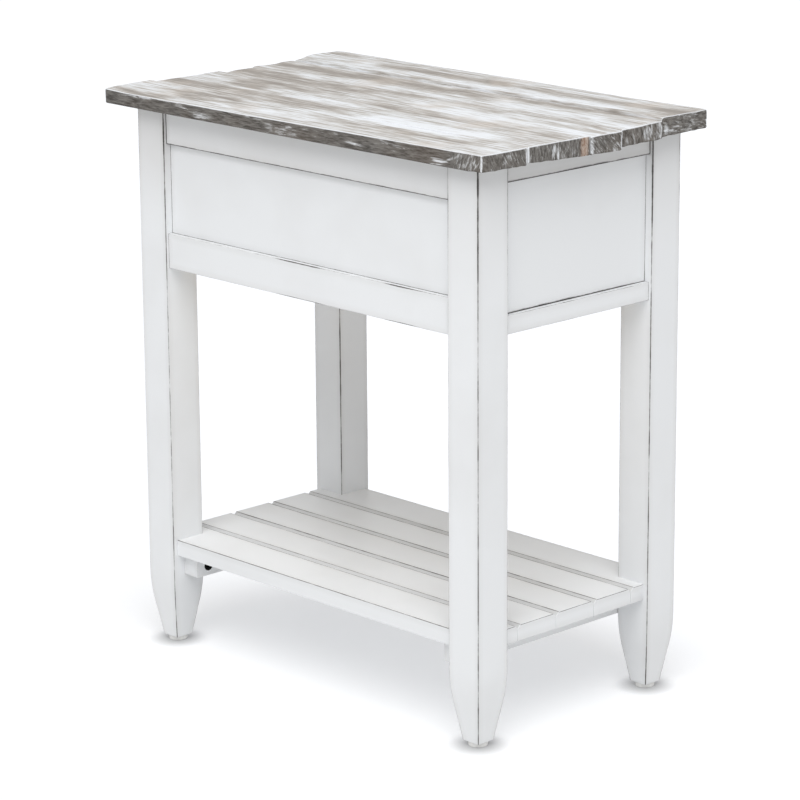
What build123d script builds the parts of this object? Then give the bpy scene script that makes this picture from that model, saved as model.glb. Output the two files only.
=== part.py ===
from build123d import *
import math
import os

# Narrow side table: four square legs, a framed and panelled apron that hides one drawer,
# a slatted shelf near the floor and a top of five old planks. Millimetres, +Z up, floor at
# Z = 0, origin under the middle of the top. The drawer opens towards -Y; right means +X.

# ---- Top -------------------------------------------------------------------------------
TABLE_HEIGHT = 660.0                          # floor to the face of the planks
TOP_LENGTH = 607.5
TOP_WIDTH = 349.0
TOP_PLANK_SHARES = (68.5, 95.5, 49.0, 64.5, 71.5)   # of the width, from the right edge to the left
TOP_PLANK_TRIMS = (0.0, 10.5, 19.0, 15.0, 17.5)     # how far each stops short at the front
TOP_THICKNESS = 18.5
THICK_PLANK_RISE = 4.0                        # the leftmost plank is thicker by this much
PLANK_GAP = 0.4
PLANK_EASE = 1.5
SIDE_OVERHANG = 17.5
FRONT_OVERHANG = 37.0
BACK_OVERHANG = 22.5

# ---- Legs and feet ---------------------------------------------------------------------
LEG = 45.0
LEG_EASE = 1.2
FOOT_WIDTH = 23.5
TAPER_HEIGHT = 68.0                           # where the tapered faces would meet the post
TAPER_RADIUS = 250.0                          # softens that meeting
GLIDE_RADIUS = 11.0
GLIDE_HEIGHT = 5.5
GLIDE_RIM = 1.5
GLIDE_PIN_RADIUS = 1.6
GLIDE_PIN_LENGTH = 14.0

# ---- Apron: rails and panels -----------------------------------------------------------
APRON_DEPTH = 184.5                           # below the underside of the top
SIDE_TOP_RAIL = 40.0                          # heights of the rails
SIDE_LOWER_RAIL = 40.5
END_TOP_RAIL = 22.0
END_LOWER_RAIL = 20.5
RAIL_THICKNESS = 22.0
RAIL_SETBACK = 4.0                            # from the legs' outer faces
RAIL_EASE = 1.0
PANEL_SETBACK = 10.0
PANEL_THICKNESS = 9.0
PANEL_GROOVE = 8.0
TENON_LENGTH = 18.0
TENON_SHOULDER = 5.0
GLUE_LINE = 0.1                               # clearance round a glued joint
EXPANSION = 1.0                               # clearance at the bottom of a groove or mortise

# ---- Shelf -----------------------------------------------------------------------------
SHELF_HEIGHT = 130.0                          # floor to the face of the boards
SHELF_THICKNESS = 19.0
SHELF_BOARDS = 5
SHELF_SETBACK = 6.0                           # from the legs' outer faces
SHELF_GAP = 0.4
V_GROOVE = 4.3                                # bevel along each inner edge
SHELF_EASE = 0.8
SHELF_NOTCH_GAP = 0.6                         # round the legs
CLEAT_WIDTH = 23.0
CLEAT_HEIGHT = 25.5
CLEAT_SETBACK = 16.0                          # from the legs' outer faces
CLEAT_EASE = 2.0
BOLT_INSET = 11.5                             # from the legs' inner faces
BOLT_RADIUS = 3.0
BOLT_LENGTH = 38.0
BOLT_HEAD_RADIUS = 5.8
BOLT_HEAD_HEIGHT = 5.0
BOLT_RECESS_RADIUS = 6.5
BOLT_RECESS_DEPTH = 6.0
BOLT_SOCKET_RADIUS = 3.0
BOLT_SOCKET_DEPTH = 3.0

# ---- Drawer ----------------------------------------------------------------------------
DRAWER_GAP = 1.5                              # round the drawer front
DRAWER_END_GAP = 28.0                         # from the drawer's end to the back rail
DRAWER_HELD = 150.0                           # length that stays in the frame when it is pulled out
DRAWER_FRONT_THICKNESS = 19.0
DRAWER_SIDE_THICKNESS = 12.0
DRAWER_HEADROOM = 4.0                         # between the drawer sides and the kickers
DRAWER_BACK_INSET = 8.0                       # from the ends of the sides
DRAWER_BOTTOM_THICKNESS = 5.0
DRAWER_BOTTOM_LIFT = 8.0
DRAWER_GROOVE = 6.0
TAIL_COUNT = 4
TAIL_LENGTH = 12.0
TAIL_FLARE = 2.0
TAIL_SHARE = 0.6                              # of the pitch, at the tail's wide end
KNOB_RADIUS = 16.0
KNOB_LENGTH = 27.0
KNOB_SHOULDER = 15.0                          # from the drawer front to the widest ring
KNOB_BASE_RADIUS = 9.0
KNOB_NECK_RADIUS = 7.0
KNOB_NECK_PLACE = 4.5
KNOB_EASE = 2.0
KNOB_SCREW_BITE = 14.0
KNOB_SCREW_HEAD_HEIGHT = 2.4
KNOB_SCREW_HEAD_EASE = 0.8
BOTTOM_SCREW_PITCH = 50.0                     # of the screws under the drawer's back

# ---- Runners, kickers and stops --------------------------------------------------------
SLIDE_GAP = 0.3                               # under the drawer sides, and at rest on the stops
GUIDE_GAP = 0.8                               # beside the drawer sides
RUNNER_REACH = 36.0                           # inwards from the side rails
RUNNER_THICKNESS = 20.0
GUIDE_HEIGHT = 15.0
KICKER_THICKNESS = 20.0
BATTEN_WIDTH = 45.0
KICKER_SCREW_OFFSET = 11.0                    # from the battens' centre lines, clear of the top screws
STOP_LENGTH = 22.0
STOP_HEIGHT = 20.0
PULLOUT_STOP_WIDTH = 40.0
PULLOUT_STOP_LENGTH = 22.0
PULLOUT_STOP_OVERLAP = 8.0                    # below the top edge of the drawer's back

# ---- Wood screws -----------------------------------------------------------------------
SCREW_RADIUS = 2.0
SCREW_HEAD_RADIUS = 4.0
SCREW_HEAD_ANGLE = 90.0
SCREW_BITE = 11.0                             # into the piece that it holds
SCREW_EDGE = 7.5                              # from the ends of what a plank and its bearer share
SCREW_DRIVE = 1.8                             # side and depth of the square recess in the head
SCREW_CLEARANCE = 0.1

# ---- Derived places --------------------------------------------------------------------
top_under = TABLE_HEIGHT - TOP_THICKNESS
side_face = TOP_WIDTH / 2 - SIDE_OVERHANG     # outer faces of the legs
front_face = -TOP_LENGTH / 2 + FRONT_OVERHANG
back_face = TOP_LENGTH / 2 - BACK_OVERHANG
frame_length = back_face - front_face
frame_middle = (front_face + back_face) / 2
leg_inner_x = side_face - LEG
leg_inner_front = front_face + LEG
leg_inner_back = back_face - LEG
rail_inner_x = side_face - RAIL_SETBACK - RAIL_THICKNESS
rail_inner_front = front_face + RAIL_SETBACK + RAIL_THICKNESS
rail_inner_back = back_face - RAIL_SETBACK - RAIL_THICKNESS
shelf_under = SHELF_HEIGHT - SHELF_THICKNESS
cleat_bottom = shelf_under - CLEAT_HEIGHT
apron_bottom = top_under - APRON_DEPTH
opening_bottom = apron_bottom + END_LOWER_RAIL
opening_top = top_under - END_TOP_RAIL
drawer_half = leg_inner_x - DRAWER_GAP
drawer_bottom_z = opening_bottom + DRAWER_GAP
drawer_top_z = opening_top - DRAWER_GAP
drawer_face = front_face + RAIL_SETBACK
drawer_front_back = drawer_face + DRAWER_FRONT_THICKNESS
drawer_end = rail_inner_back - DRAWER_END_GAP
drawer_travel = drawer_end - drawer_face - DRAWER_HELD
drawer_inner_x = drawer_half - DRAWER_SIDE_THICKNESS
drawer_floor = drawer_bottom_z + DRAWER_BOTTOM_LIFT
drawer_back_rear = drawer_end - DRAWER_BACK_INSET
drawer_back_front = drawer_back_rear - DRAWER_SIDE_THICKNESS
runner_top = drawer_bottom_z - SLIDE_GAP
kicker_bottom = top_under - SIDE_TOP_RAIL
drawer_side_top = kicker_bottom - DRAWER_HEADROOM
kicker_top = kicker_bottom + KICKER_THICKNESS
batten_thickness = top_under - kicker_top
SIDES = {"right": 1, "left": -1}
UPWARDS = (Align.CENTER, Align.CENTER, Align.MIN)

# Outward-facing planes on the legs' outer faces: local x runs along the rail, local y is Z.
faces = {
    "right": Plane(origin=(side_face, frame_middle, 0), x_dir=(0, 1, 0), z_dir=(1, 0, 0)),
    "left": Plane(origin=(-side_face, frame_middle, 0), x_dir=(0, -1, 0), z_dir=(-1, 0, 0)),
    "back": Plane(origin=(0, back_face, 0), x_dir=(-1, 0, 0), z_dir=(0, 1, 0)),
    "front": Plane(origin=(0, front_face, 0), x_dir=(1, 0, 0), z_dir=(0, -1, 0)),
}
side_span = frame_length - 2 * LEG
end_span = 2 * leg_inner_x

os.makedirs("parts", exist_ok=True)


def save(builder, name):
    """Label a finished piece and write it as one STEP file."""
    builder.part.label = name
    export_step(builder.part, f"parts/{name}.step")


def block(x_range, y_range, z_range, mode=Mode.ADD):
    """Add or cut a box given by its ranges along the three axes."""
    middle = Vector(*((low + high) / 2 for low, high in (x_range, y_range, z_range)))
    size = [high - low for low, high in (x_range, y_range, z_range)]
    with Locations(middle):
        Box(*size, mode=mode)


# ---- Wood screws, driven upwards -------------------------------------------------------
def make_screws(points, under, length):
    """Make countersunk screws with their heads flush in the face at the height under."""
    head_height = (SCREW_HEAD_RADIUS - SCREW_RADIUS) / math.tan(math.radians(SCREW_HEAD_ANGLE / 2))
    with BuildPart() as screws:
        with Locations([(x, y, under) for x, y in points]):
            Cone(SCREW_HEAD_RADIUS, SCREW_RADIUS, head_height, align=UPWARDS)
            Cylinder(SCREW_RADIUS, length, align=UPWARDS)
            Box(SCREW_DRIVE, SCREW_DRIVE, SCREW_DRIVE, align=UPWARDS, mode=Mode.SUBTRACT)
    return screws


def sink_holes(points, under, thickness):
    """Cut a countersunk clearance hole up through the piece for each screw."""
    with Locations(Plane(origin=(0, 0, under), x_dir=(1, 0, 0), z_dir=(0, 0, -1))):
        with Locations([(x, -y) for x, y in points]):
            CounterSinkHole(
                SCREW_RADIUS + SCREW_CLEARANCE, SCREW_HEAD_RADIUS + SCREW_CLEARANCE,
                depth=thickness, counter_sink_angle=SCREW_HEAD_ANGLE,
            )


def pilot_holes(points, under):
    """Cut the blind holes that the screws bite into, from the face at the height under."""
    if points:
        with BuildSketch(Plane.XY.offset(under)) as holes:
            with Locations(points):
                Circle(SCREW_RADIUS + SCREW_CLEARANCE)
        extrude(holes.sketch, amount=SCREW_BITE + EXPANSION, mode=Mode.SUBTRACT)


# ---- Legs ------------------------------------------------------------------------------
def add_leg_profile(plane, mode):
    """Extrude the leg's outline, straight above and tapered to the foot, through the post."""
    post = LEG / 2
    foot = FOOT_WIDTH / 2
    with BuildSketch(plane) as outline:
        with BuildLine():
            Polyline(
                (-foot, GLIDE_HEIGHT), (foot, GLIDE_HEIGHT), (post, TAPER_HEIGHT),
                (post, top_under), (-post, top_under), (-post, TAPER_HEIGHT), close=True,
            )
        make_face()
        bends = outline.vertices().group_by(Axis.Y)[1]
        fillet(bends, TAPER_RADIUS)
    extrude(outline.sketch, amount=post, both=True, mode=mode)


def cut_rail_sockets(face, span, end_sign, rails, panel):
    """Mortise one leg for the rails of one face, and groove it for that face's panel."""
    cuts = [
        (TENON_LENGTH + EXPANSION, low + TENON_SHOULDER, high - TENON_SHOULDER) for low, high in rails
    ]
    if panel:
        cuts.append((PANEL_GROOVE, rails[0][1] - PANEL_GROOVE, rails[1][0] + PANEL_GROOVE))
    for reach, low, high in cuts:
        with BuildSketch(face.offset(GLUE_LINE - PANEL_SETBACK)) as socket:
            with Locations((end_sign * (span + reach) / 2, (low + high) / 2)):
                Rectangle(reach, high - low + 2 * GLUE_LINE)
        extrude(socket.sketch, amount=-PANEL_THICKNESS - 2 * GLUE_LINE, mode=Mode.SUBTRACT)


def make_leg(sign, inward, leg_y, side, end):
    """Make one leg: the tapered post with its mortises, grooves and pilot holes."""
    leg_x = sign * (side_face - LEG / 2)
    with BuildPart() as leg:
        add_leg_profile(Plane(origin=(leg_x, leg_y, 0), x_dir=(1, 0, 0), z_dir=(0, -1, 0)), Mode.ADD)
        add_leg_profile(Plane(origin=(leg_x, leg_y, 0), x_dir=(0, 1, 0), z_dir=(1, 0, 0)), Mode.INTERSECT)
        fillet(leg.edges().filter_by(lambda edge: edge.bounding_box().size.Z > LEG_EASE), LEG_EASE)
        cut_rail_sockets(faces[side], side_span, -sign * inward, side_rails, panel=True)
        cut_rail_sockets(faces[end], end_span, sign * inward, end_rails, panel=end == "back")
        inner = leg_y + inward * LEG / 2
        with BuildSketch(Plane(origin=(0, inner, 0), x_dir=(1, 0, 0), z_dir=(0, -1, 0))):
            with Locations((sign * bolt_x, bolt_z)):
                Circle(BOLT_RADIUS + SCREW_CLEARANCE)
        extrude(amount=inward * (bolt_in_leg + EXPANSION), mode=Mode.SUBTRACT)
        with BuildSketch(Plane.XY.offset(GLIDE_HEIGHT)):
            with Locations((leg_x, leg_y)):
                Circle(GLIDE_PIN_RADIUS + SCREW_CLEARANCE)
        extrude(amount=GLIDE_PIN_LENGTH + EXPANSION, mode=Mode.SUBTRACT)
    return leg


side_rails = (
    (apron_bottom, apron_bottom + SIDE_LOWER_RAIL),
    (top_under - SIDE_TOP_RAIL, top_under),
)
end_rails = (
    (apron_bottom, opening_bottom),
    (opening_top, top_under),
)
bolt_x = leg_inner_x + BOLT_INSET
bolt_z = shelf_under - CLEAT_HEIGHT / 2
bolt_in_leg = BOLT_LENGTH - (CLEAT_WIDTH - BOLT_RECESS_DEPTH)
leg_ys = {"front": front_face + LEG / 2, "back": back_face - LEG / 2}
inwards = {"front": 1, "back": -1}

for end, leg_y in leg_ys.items():
    for side, sign in SIDES.items():
        save(make_leg(sign, inwards[end], leg_y, side, end), f"leg_{end}_{side}")

with BuildPart() as glides:
    for leg_y in leg_ys.values():
        for sign in SIDES.values():
            with Locations((sign * (side_face - LEG / 2), leg_y)):
                Cylinder(GLIDE_RADIUS, GLIDE_HEIGHT, align=UPWARDS)
                Cylinder(GLIDE_PIN_RADIUS, GLIDE_HEIGHT + GLIDE_PIN_LENGTH, align=UPWARDS)
    fillet(glides.edges().group_by(Axis.Z)[0], GLIDE_RIM)
save(glides, "foot_glides")


# ---- Apron rails and panels ------------------------------------------------------------
def make_rail(face, span, low, high, groove_at=None):
    """Make one rail with a tenon at each end, grooved in the edge that takes the panel."""
    with BuildPart() as rail:
        with BuildSketch(face.offset(-RAIL_SETBACK)):
            with Locations((0, (low + high) / 2)):
                Rectangle(span, high - low)
        extrude(amount=-RAIL_THICKNESS)
        outer = rail.faces().sort_by(lambda f: face.to_local_coords(f.center()).Z)[-1]
        fillet(outer.edges().filter_by(Axis.Z, reverse=True), RAIL_EASE)
        with BuildSketch(face.offset(-PANEL_SETBACK)):
            with Locations((0, (low + high) / 2)):
                Rectangle(span + 2 * TENON_LENGTH, high - low - 2 * TENON_SHOULDER)
        extrude(amount=-PANEL_THICKNESS)
        if groove_at is not None:
            with BuildSketch(face.offset(GLUE_LINE - PANEL_SETBACK)):
                with Locations((0, groove_at)):
                    Rectangle(span + 2 * TENON_LENGTH, 2 * PANEL_GROOVE)
            extrude(amount=-PANEL_THICKNESS - 2 * GLUE_LINE, mode=Mode.SUBTRACT)
    return rail


def make_panel(face, span, low, high):
    """Make the flat panel that floats in the grooves of its rails and legs."""
    reach = PANEL_GROOVE - EXPANSION
    with BuildPart() as panel:
        with BuildSketch(face.offset(-PANEL_SETBACK)):
            with Locations((0, (low + high) / 2)):
                Rectangle(span + 2 * reach, high - low + 2 * reach)
        extrude(amount=-PANEL_THICKNESS)
    return panel


for side in SIDES:
    lower, upper = side_rails
    save(make_rail(faces[side], side_span, *lower, groove_at=lower[1]), f"side_lower_rail_{side}")
    save(make_rail(faces[side], side_span, *upper, groove_at=upper[0]), f"side_top_rail_{side}")
    save(make_panel(faces[side], side_span, lower[1], upper[0]), f"side_panel_{side}")

lower, upper = end_rails
save(make_rail(faces["back"], end_span, *lower, groove_at=lower[1]), "back_lower_rail")
save(make_rail(faces["back"], end_span, *upper, groove_at=upper[0]), "back_top_rail")
save(make_panel(faces["back"], end_span, lower[1], upper[0]), "back_panel")
save(make_rail(faces["front"], end_span, *lower), "front_lower_rail")
save(make_rail(faces["front"], end_span, *upper), "front_top_rail")


# ---- Top: planks, and the battens that tie them together -------------------------------
def bearing_screws(edges, reach):
    """Space a plank's or board's two screws across the part of it that its bearer meets."""
    return max(min(edges), -reach) + SCREW_EDGE, min(max(edges), reach) - SCREW_EDGE


def make_top_plank(number, right, left, points):
    """Make one plank; the thick one keeps the others' lower edge where it overhangs the back."""
    rise = THICK_PLANK_RISE if number == len(TOP_PLANK_SHARES) else 0.0
    front = TOP_PLANK_TRIMS[number - 1] - TOP_LENGTH / 2
    with BuildPart() as plank:
        x_range = (left + PLANK_GAP / 2, right - PLANK_GAP / 2)
        block(x_range, (front, TOP_LENGTH / 2), (top_under, TABLE_HEIGHT + rise))
        fillet(plank.faces().sort_by(Axis.Z)[-1].edges(), PLANK_EASE)
        if rise:
            under_face = plank.faces().sort_by(Axis.Z)[0]
            end_edge = under_face.edges().filter_by(Axis.X).sort_by(Axis.Y)[-1]
            chamfer(end_edge, BACK_OVERHANG - EXPANSION, rise, reference=under_face)
        pilot_holes(points, top_under)
    return plank


# The front batten carries the block that stops the drawer when it is pulled out.
pullout_face = drawer_back_front - drawer_travel - SLIDE_GAP
front_batten = pullout_face - BATTEN_WIDTH / 2
batten_ys = {
    "front": front_batten,
    "middle": frame_middle,
    "back": 2 * frame_middle - front_batten,
}
plank_edges = [TOP_WIDTH / 2]
for share in TOP_PLANK_SHARES:
    plank_edges.append(plank_edges[-1] - TOP_WIDTH * share / sum(TOP_PLANK_SHARES))
top_screw_points = []
for number, (right, left) in enumerate(zip(plank_edges, plank_edges[1:]), start=1):
    places = bearing_screws((right, left), rail_inner_x)
    points = [(x, y) for x in places for y in batten_ys.values()]
    save(make_top_plank(number, right, left, points), f"top_plank_{number}")
    top_screw_points += points
save(make_screws(top_screw_points, kicker_top, batten_thickness + SCREW_BITE), "top_screws")

kicker_x = rail_inner_x - RUNNER_REACH / 2
kicker_screw_points = [
    (sign * kicker_x, y + KICKER_SCREW_OFFSET) for sign in SIDES.values() for y in batten_ys.values()
]
pullout_screw_point = (0, pullout_face - PULLOUT_STOP_LENGTH / 2)
for place, batten_y in batten_ys.items():
    with BuildPart() as batten:
        y_range = (batten_y - BATTEN_WIDTH / 2, batten_y + BATTEN_WIDTH / 2)
        block((-rail_inner_x, rail_inner_x), y_range, (kicker_top, top_under))
        sink_holes([point for point in top_screw_points if point[1] == batten_y],
                   kicker_top, batten_thickness)
        pilot_holes([(sign * kicker_x, batten_y + KICKER_SCREW_OFFSET) for sign in SIDES.values()],
                    kicker_top)
        if place == "front":
            pilot_holes([pullout_screw_point], kicker_top)
    save(batten, f"top_batten_{place}")


# ---- Shelf: boards, cleats, screws and bolts -------------------------------------------
shelf_half = side_face - SHELF_SETBACK
shelf_front = front_face + SHELF_SETBACK
shelf_back = back_face - SHELF_SETBACK
shelf_pitch = 2 * shelf_half / SHELF_BOARDS
cleat_half = side_face - CLEAT_SETBACK
cleat_ranges = {
    "front": (leg_inner_front, leg_inner_front + CLEAT_WIDTH),
    "back": (leg_inner_back - CLEAT_WIDTH, leg_inner_back),
}
notch_x = leg_inner_x - SHELF_NOTCH_GAP
notch_ys = (leg_inner_front + SHELF_NOTCH_GAP, leg_inner_back - SHELF_NOTCH_GAP)


def make_shelf_board(right, left, points):
    """Make one board: bevelled where it meets a neighbour, notched where it meets the legs."""
    inner_right = right < shelf_half - SHELF_GAP
    inner_left = left > SHELF_GAP - shelf_half
    x_range = (left + inner_left * SHELF_GAP / 2, right - inner_right * SHELF_GAP / 2)
    with BuildPart() as board:
        block(x_range, (shelf_front, shelf_back), (shelf_under, SHELF_HEIGHT))
        top_edges = board.edges().filter_by(Axis.Y).group_by(Axis.Z)[-1].sort_by(Axis.X)
        chamfer([e for e, inner in zip(top_edges, (inner_left, inner_right)) if inner], V_GROOVE)
        rim = board.faces().sort_by(Axis.Z)[-1].edges()
        bevelled = rim.filter_by(Axis.Y).filter_by_position(Axis.X, -notch_x, notch_x)
        fillet(rim - bevelled, SHELF_EASE)
        for sign, inner in ((1, inner_right), (-1, inner_left)):
            if not inner:
                outside = (notch_x, shelf_half) if sign > 0 else (-shelf_half, -notch_x)
                block(outside, (shelf_front, notch_ys[0]), (shelf_under, SHELF_HEIGHT), Mode.SUBTRACT)
                block(outside, (notch_ys[1], shelf_back), (shelf_under, SHELF_HEIGHT), Mode.SUBTRACT)
        pilot_holes(points, shelf_under)
    return board


shelf_screw_points = []
for i in range(SHELF_BOARDS):
    right = shelf_half - i * shelf_pitch
    left = right - shelf_pitch
    places = bearing_screws((right, left), cleat_half)
    points = [(x, sum(y_range) / 2) for x in places for y_range in cleat_ranges.values()]
    save(make_shelf_board(right, left, points), f"shelf_board_{i + 1}")
    shelf_screw_points += points
save(make_screws(shelf_screw_points, cleat_bottom, CLEAT_HEIGHT + SCREW_BITE), "shelf_screws")


def bolt_circle(y, radius, length, mode=Mode.ADD):
    """Add or cut the two round bars of one cleat, running along Y from the given place."""
    with BuildSketch(Plane(origin=(0, y, 0), x_dir=(-1, 0, 0), z_dir=(0, 1, 0))) as bars:
        with Locations([(sign * bolt_x, bolt_z) for sign in SIDES.values()]):
            Circle(radius)
    extrude(bars.sketch, amount=length, mode=mode)


for end, (near, far) in cleat_ranges.items():
    inward = inwards[end]
    open_face = far if end == "front" else near
    with BuildPart() as cleat:
        block((-cleat_half, cleat_half), (near, far), (cleat_bottom, shelf_under))
        fillet(cleat.faces().sort_by(Axis.Z)[0].edges(), CLEAT_EASE)
        bolt_circle(open_face, BOLT_RECESS_RADIUS, -inward * BOLT_RECESS_DEPTH, Mode.SUBTRACT)
        bolt_circle(open_face, BOLT_RADIUS + SCREW_CLEARANCE, -inward * CLEAT_WIDTH, Mode.SUBTRACT)
        sink_holes([point for point in shelf_screw_points if near < point[1] < far],
                   cleat_bottom, CLEAT_HEIGHT)
    save(cleat, f"shelf_cleat_{end}")

with BuildPart() as bolts:
    for end, (near, far) in cleat_ranges.items():
        inward = inwards[end]
        seat = (far if end == "front" else near) - inward * BOLT_RECESS_DEPTH
        bolt_circle(seat, BOLT_HEAD_RADIUS, inward * BOLT_HEAD_HEIGHT)
        bolt_circle(seat, BOLT_RADIUS, -inward * BOLT_LENGTH)
        top = seat + inward * BOLT_HEAD_HEIGHT
        bolt_circle(top, BOLT_SOCKET_RADIUS, -inward * BOLT_SOCKET_DEPTH, Mode.SUBTRACT)
save(bolts, "cleat_bolts")


# ---- Drawer ----------------------------------------------------------------------------
tail_pitch = (drawer_side_top - drawer_bottom_z) / TAIL_COUNT
tail_wide = tail_pitch * TAIL_SHARE
groove_height = DRAWER_BOTTOM_THICKNESS + 2 * GLUE_LINE


def dovetails(side_x, sign, grow, mode):
    """Add or cut a row of tails that run forward from the back of the drawer front."""
    with BuildSketch(Plane(origin=(side_x, 0, 0), x_dir=(0, 1, 0), z_dir=(1, 0, 0))) as tails:
        for i in range(TAIL_COUNT):
            middle = drawer_bottom_z + tail_pitch * (i + 0.5)
            tip = drawer_front_back - TAIL_LENGTH - grow
            wide = tail_wide / 2 + grow
            narrow = wide - TAIL_FLARE
            with BuildLine():
                Polyline(
                    (drawer_front_back, middle - narrow), (drawer_front_back, middle + narrow),
                    (tip, middle + wide), (tip, middle - wide), close=True,
                )
            make_face()
    extrude(tails.sketch, amount=sign * DRAWER_SIDE_THICKNESS, mode=mode)


with BuildPart() as drawer_front:
    block((-drawer_half, drawer_half), (drawer_face, drawer_front_back), (drawer_bottom_z, drawer_top_z))
    fillet(drawer_front.faces().sort_by(Axis.Y)[0].edges(), RAIL_EASE)
    for sign in SIDES.values():
        dovetails(sign * drawer_inner_x, sign, GLUE_LINE, Mode.SUBTRACT)
    bottom_half = drawer_inner_x + DRAWER_GROOVE
    groove_z = (drawer_floor - GLUE_LINE, drawer_floor - GLUE_LINE + groove_height)
    block((-bottom_half, bottom_half), (drawer_front_back - DRAWER_GROOVE, drawer_front_back),
          groove_z, Mode.SUBTRACT)
    knob_z = (drawer_bottom_z + drawer_top_z) / 2
    with Locations(Plane(origin=(0, drawer_face, knob_z), z_dir=(0, -1, 0))):
        Hole(SCREW_RADIUS + SCREW_CLEARANCE)
save(drawer_front, "drawer_front")

for side, sign in SIDES.items():
    inner = sign * drawer_inner_x
    outer = sign * drawer_half
    with BuildPart() as drawer_side:
        block(sorted((inner, outer)), (drawer_front_back, drawer_end), (drawer_bottom_z, drawer_side_top))
        fillet(drawer_side.edges().filter_by(Axis.Y).group_by(Axis.Z)[-1], RAIL_EASE)
        dovetails(inner, sign, 0.0, Mode.ADD)
        block(sorted((inner, inner + sign * DRAWER_GROOVE)), (drawer_front_back - TAIL_LENGTH, drawer_end),
              groove_z, Mode.SUBTRACT)
        block(sorted((inner, inner + sign * DRAWER_GROOVE)),
              (drawer_back_front - GLUE_LINE, drawer_back_rear + GLUE_LINE),
              (drawer_floor, drawer_side_top), Mode.SUBTRACT)
    save(drawer_side, f"drawer_side_{side}")

back_half = drawer_inner_x + DRAWER_GROOVE - GLUE_LINE
bottom_screw_y = (drawer_back_front + drawer_back_rear) / 2
bottom_screw_points = [(x, bottom_screw_y) for x in (-BOTTOM_SCREW_PITCH, 0, BOTTOM_SCREW_PITCH)]
bottom_top = drawer_floor + DRAWER_BOTTOM_THICKNESS
with BuildPart() as drawer_back:
    block((-back_half, back_half), (drawer_back_front, drawer_back_rear), (bottom_top, drawer_side_top))
    pilot_holes(bottom_screw_points, bottom_top)
save(drawer_back, "drawer_back")

with BuildPart() as drawer_bottom:
    bottom_half = drawer_inner_x + DRAWER_GROOVE - EXPANSION
    block((-bottom_half, bottom_half),
          (drawer_front_back - DRAWER_GROOVE + EXPANSION, drawer_back_rear), (drawer_floor, bottom_top))
    sink_holes(bottom_screw_points, drawer_floor, DRAWER_BOTTOM_THICKNESS)
save(drawer_bottom, "drawer_bottom")
bottom_screws = make_screws(bottom_screw_points, drawer_floor, DRAWER_BOTTOM_THICKNESS + SCREW_BITE)
save(bottom_screws, "drawer_bottom_screws")

# The knob is turned about the axis of its screw, which comes through the drawer front.
knob_dome = KNOB_LENGTH - KNOB_SHOULDER
knob_dome_radius = (KNOB_RADIUS ** 2 + knob_dome ** 2) / (2 * knob_dome)
with BuildPart() as knob:
    with BuildSketch(Plane(origin=(0, drawer_face, knob_z), x_dir=(1, 0, 0), z_dir=(0, 0, -1))) as turning:
        with BuildLine():
            Line((0, KNOB_LENGTH), (0, 0))
            Line((0, 0), (KNOB_BASE_RADIUS, 0))
            ThreePointArc(
                (KNOB_BASE_RADIUS, 0), (KNOB_NECK_RADIUS, KNOB_NECK_PLACE), (KNOB_RADIUS, KNOB_SHOULDER),
            )
            RadiusArc((KNOB_RADIUS, KNOB_SHOULDER), (0, KNOB_LENGTH), -knob_dome_radius)
        make_face()
        fillet(turning.vertices().sort_by(Axis.X)[-1], KNOB_EASE)
    revolve(axis=Axis((0, drawer_face, knob_z), (0, -1, 0)))
    with BuildSketch(Plane(origin=(0, drawer_face, knob_z), x_dir=(1, 0, 0), z_dir=(0, -1, 0))):
        Circle(SCREW_RADIUS + SCREW_CLEARANCE)
    extrude(amount=KNOB_SCREW_BITE + EXPANSION, mode=Mode.SUBTRACT)
save(knob, "drawer_knob")

with BuildPart() as knob_screw:
    with BuildSketch(Plane(origin=(0, drawer_front_back, knob_z), x_dir=(1, 0, 0), z_dir=(0, -1, 0))):
        Circle(SCREW_RADIUS)
    extrude(amount=DRAWER_FRONT_THICKNESS + KNOB_SCREW_BITE)
    with BuildSketch(Plane(origin=(0, drawer_front_back, knob_z), x_dir=(1, 0, 0), z_dir=(0, 1, 0))):
        Circle(SCREW_HEAD_RADIUS)
    extrude(amount=KNOB_SCREW_HEAD_HEIGHT)
    fillet(knob_screw.edges().group_by(Axis.Y)[-1], KNOB_SCREW_HEAD_EASE)
save(knob_screw, "drawer_knob_screw")


# ---- Runners, guides, kickers and stops ------------------------------------------------
def make_bearer(sign, low, high, screws=()):
    """Make a strip along one side rail, with a tongue that reaches past the legs to the end rails."""
    inner = rail_inner_x - RUNNER_REACH
    with BuildPart() as bearer:
        with BuildSketch(Plane.XY.offset(low)):
            for outer, near, far in (
                (rail_inner_x, leg_inner_front, leg_inner_back),
                (leg_inner_x, rail_inner_front, rail_inner_back),
            ):
                with Locations((sign * (inner + outer) / 2, (near + far) / 2)):
                    Rectangle(outer - inner, far - near)
        extrude(amount=high - low)
        if screws:
            sink_holes(screws, low, high - low)
    return bearer


for side, sign in SIDES.items():
    save(make_bearer(sign, runner_top - RUNNER_THICKNESS, runner_top), f"drawer_runner_{side}")
    screws = [point for point in kicker_screw_points if point[0] * sign > 0]
    save(make_bearer(sign, kicker_bottom, kicker_top, screws), f"drawer_kicker_{side}")

    with BuildPart() as guide:
        x_range = sorted((sign * (drawer_half + GUIDE_GAP), sign * rail_inner_x))
        block(x_range, (leg_inner_front, leg_inner_back), (runner_top, runner_top + GUIDE_HEIGHT))
    save(guide, f"drawer_guide_{side}")

    with BuildPart() as stop:
        x_range = sorted((sign * drawer_inner_x, sign * drawer_half))
        rest = drawer_end + SLIDE_GAP
        block(x_range, (rest, rest + STOP_LENGTH), (runner_top, runner_top + STOP_HEIGHT))
    save(stop, f"drawer_stop_{side}")

save(make_screws(kicker_screw_points, kicker_bottom, KICKER_THICKNESS + SCREW_BITE), "kicker_screws")

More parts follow.
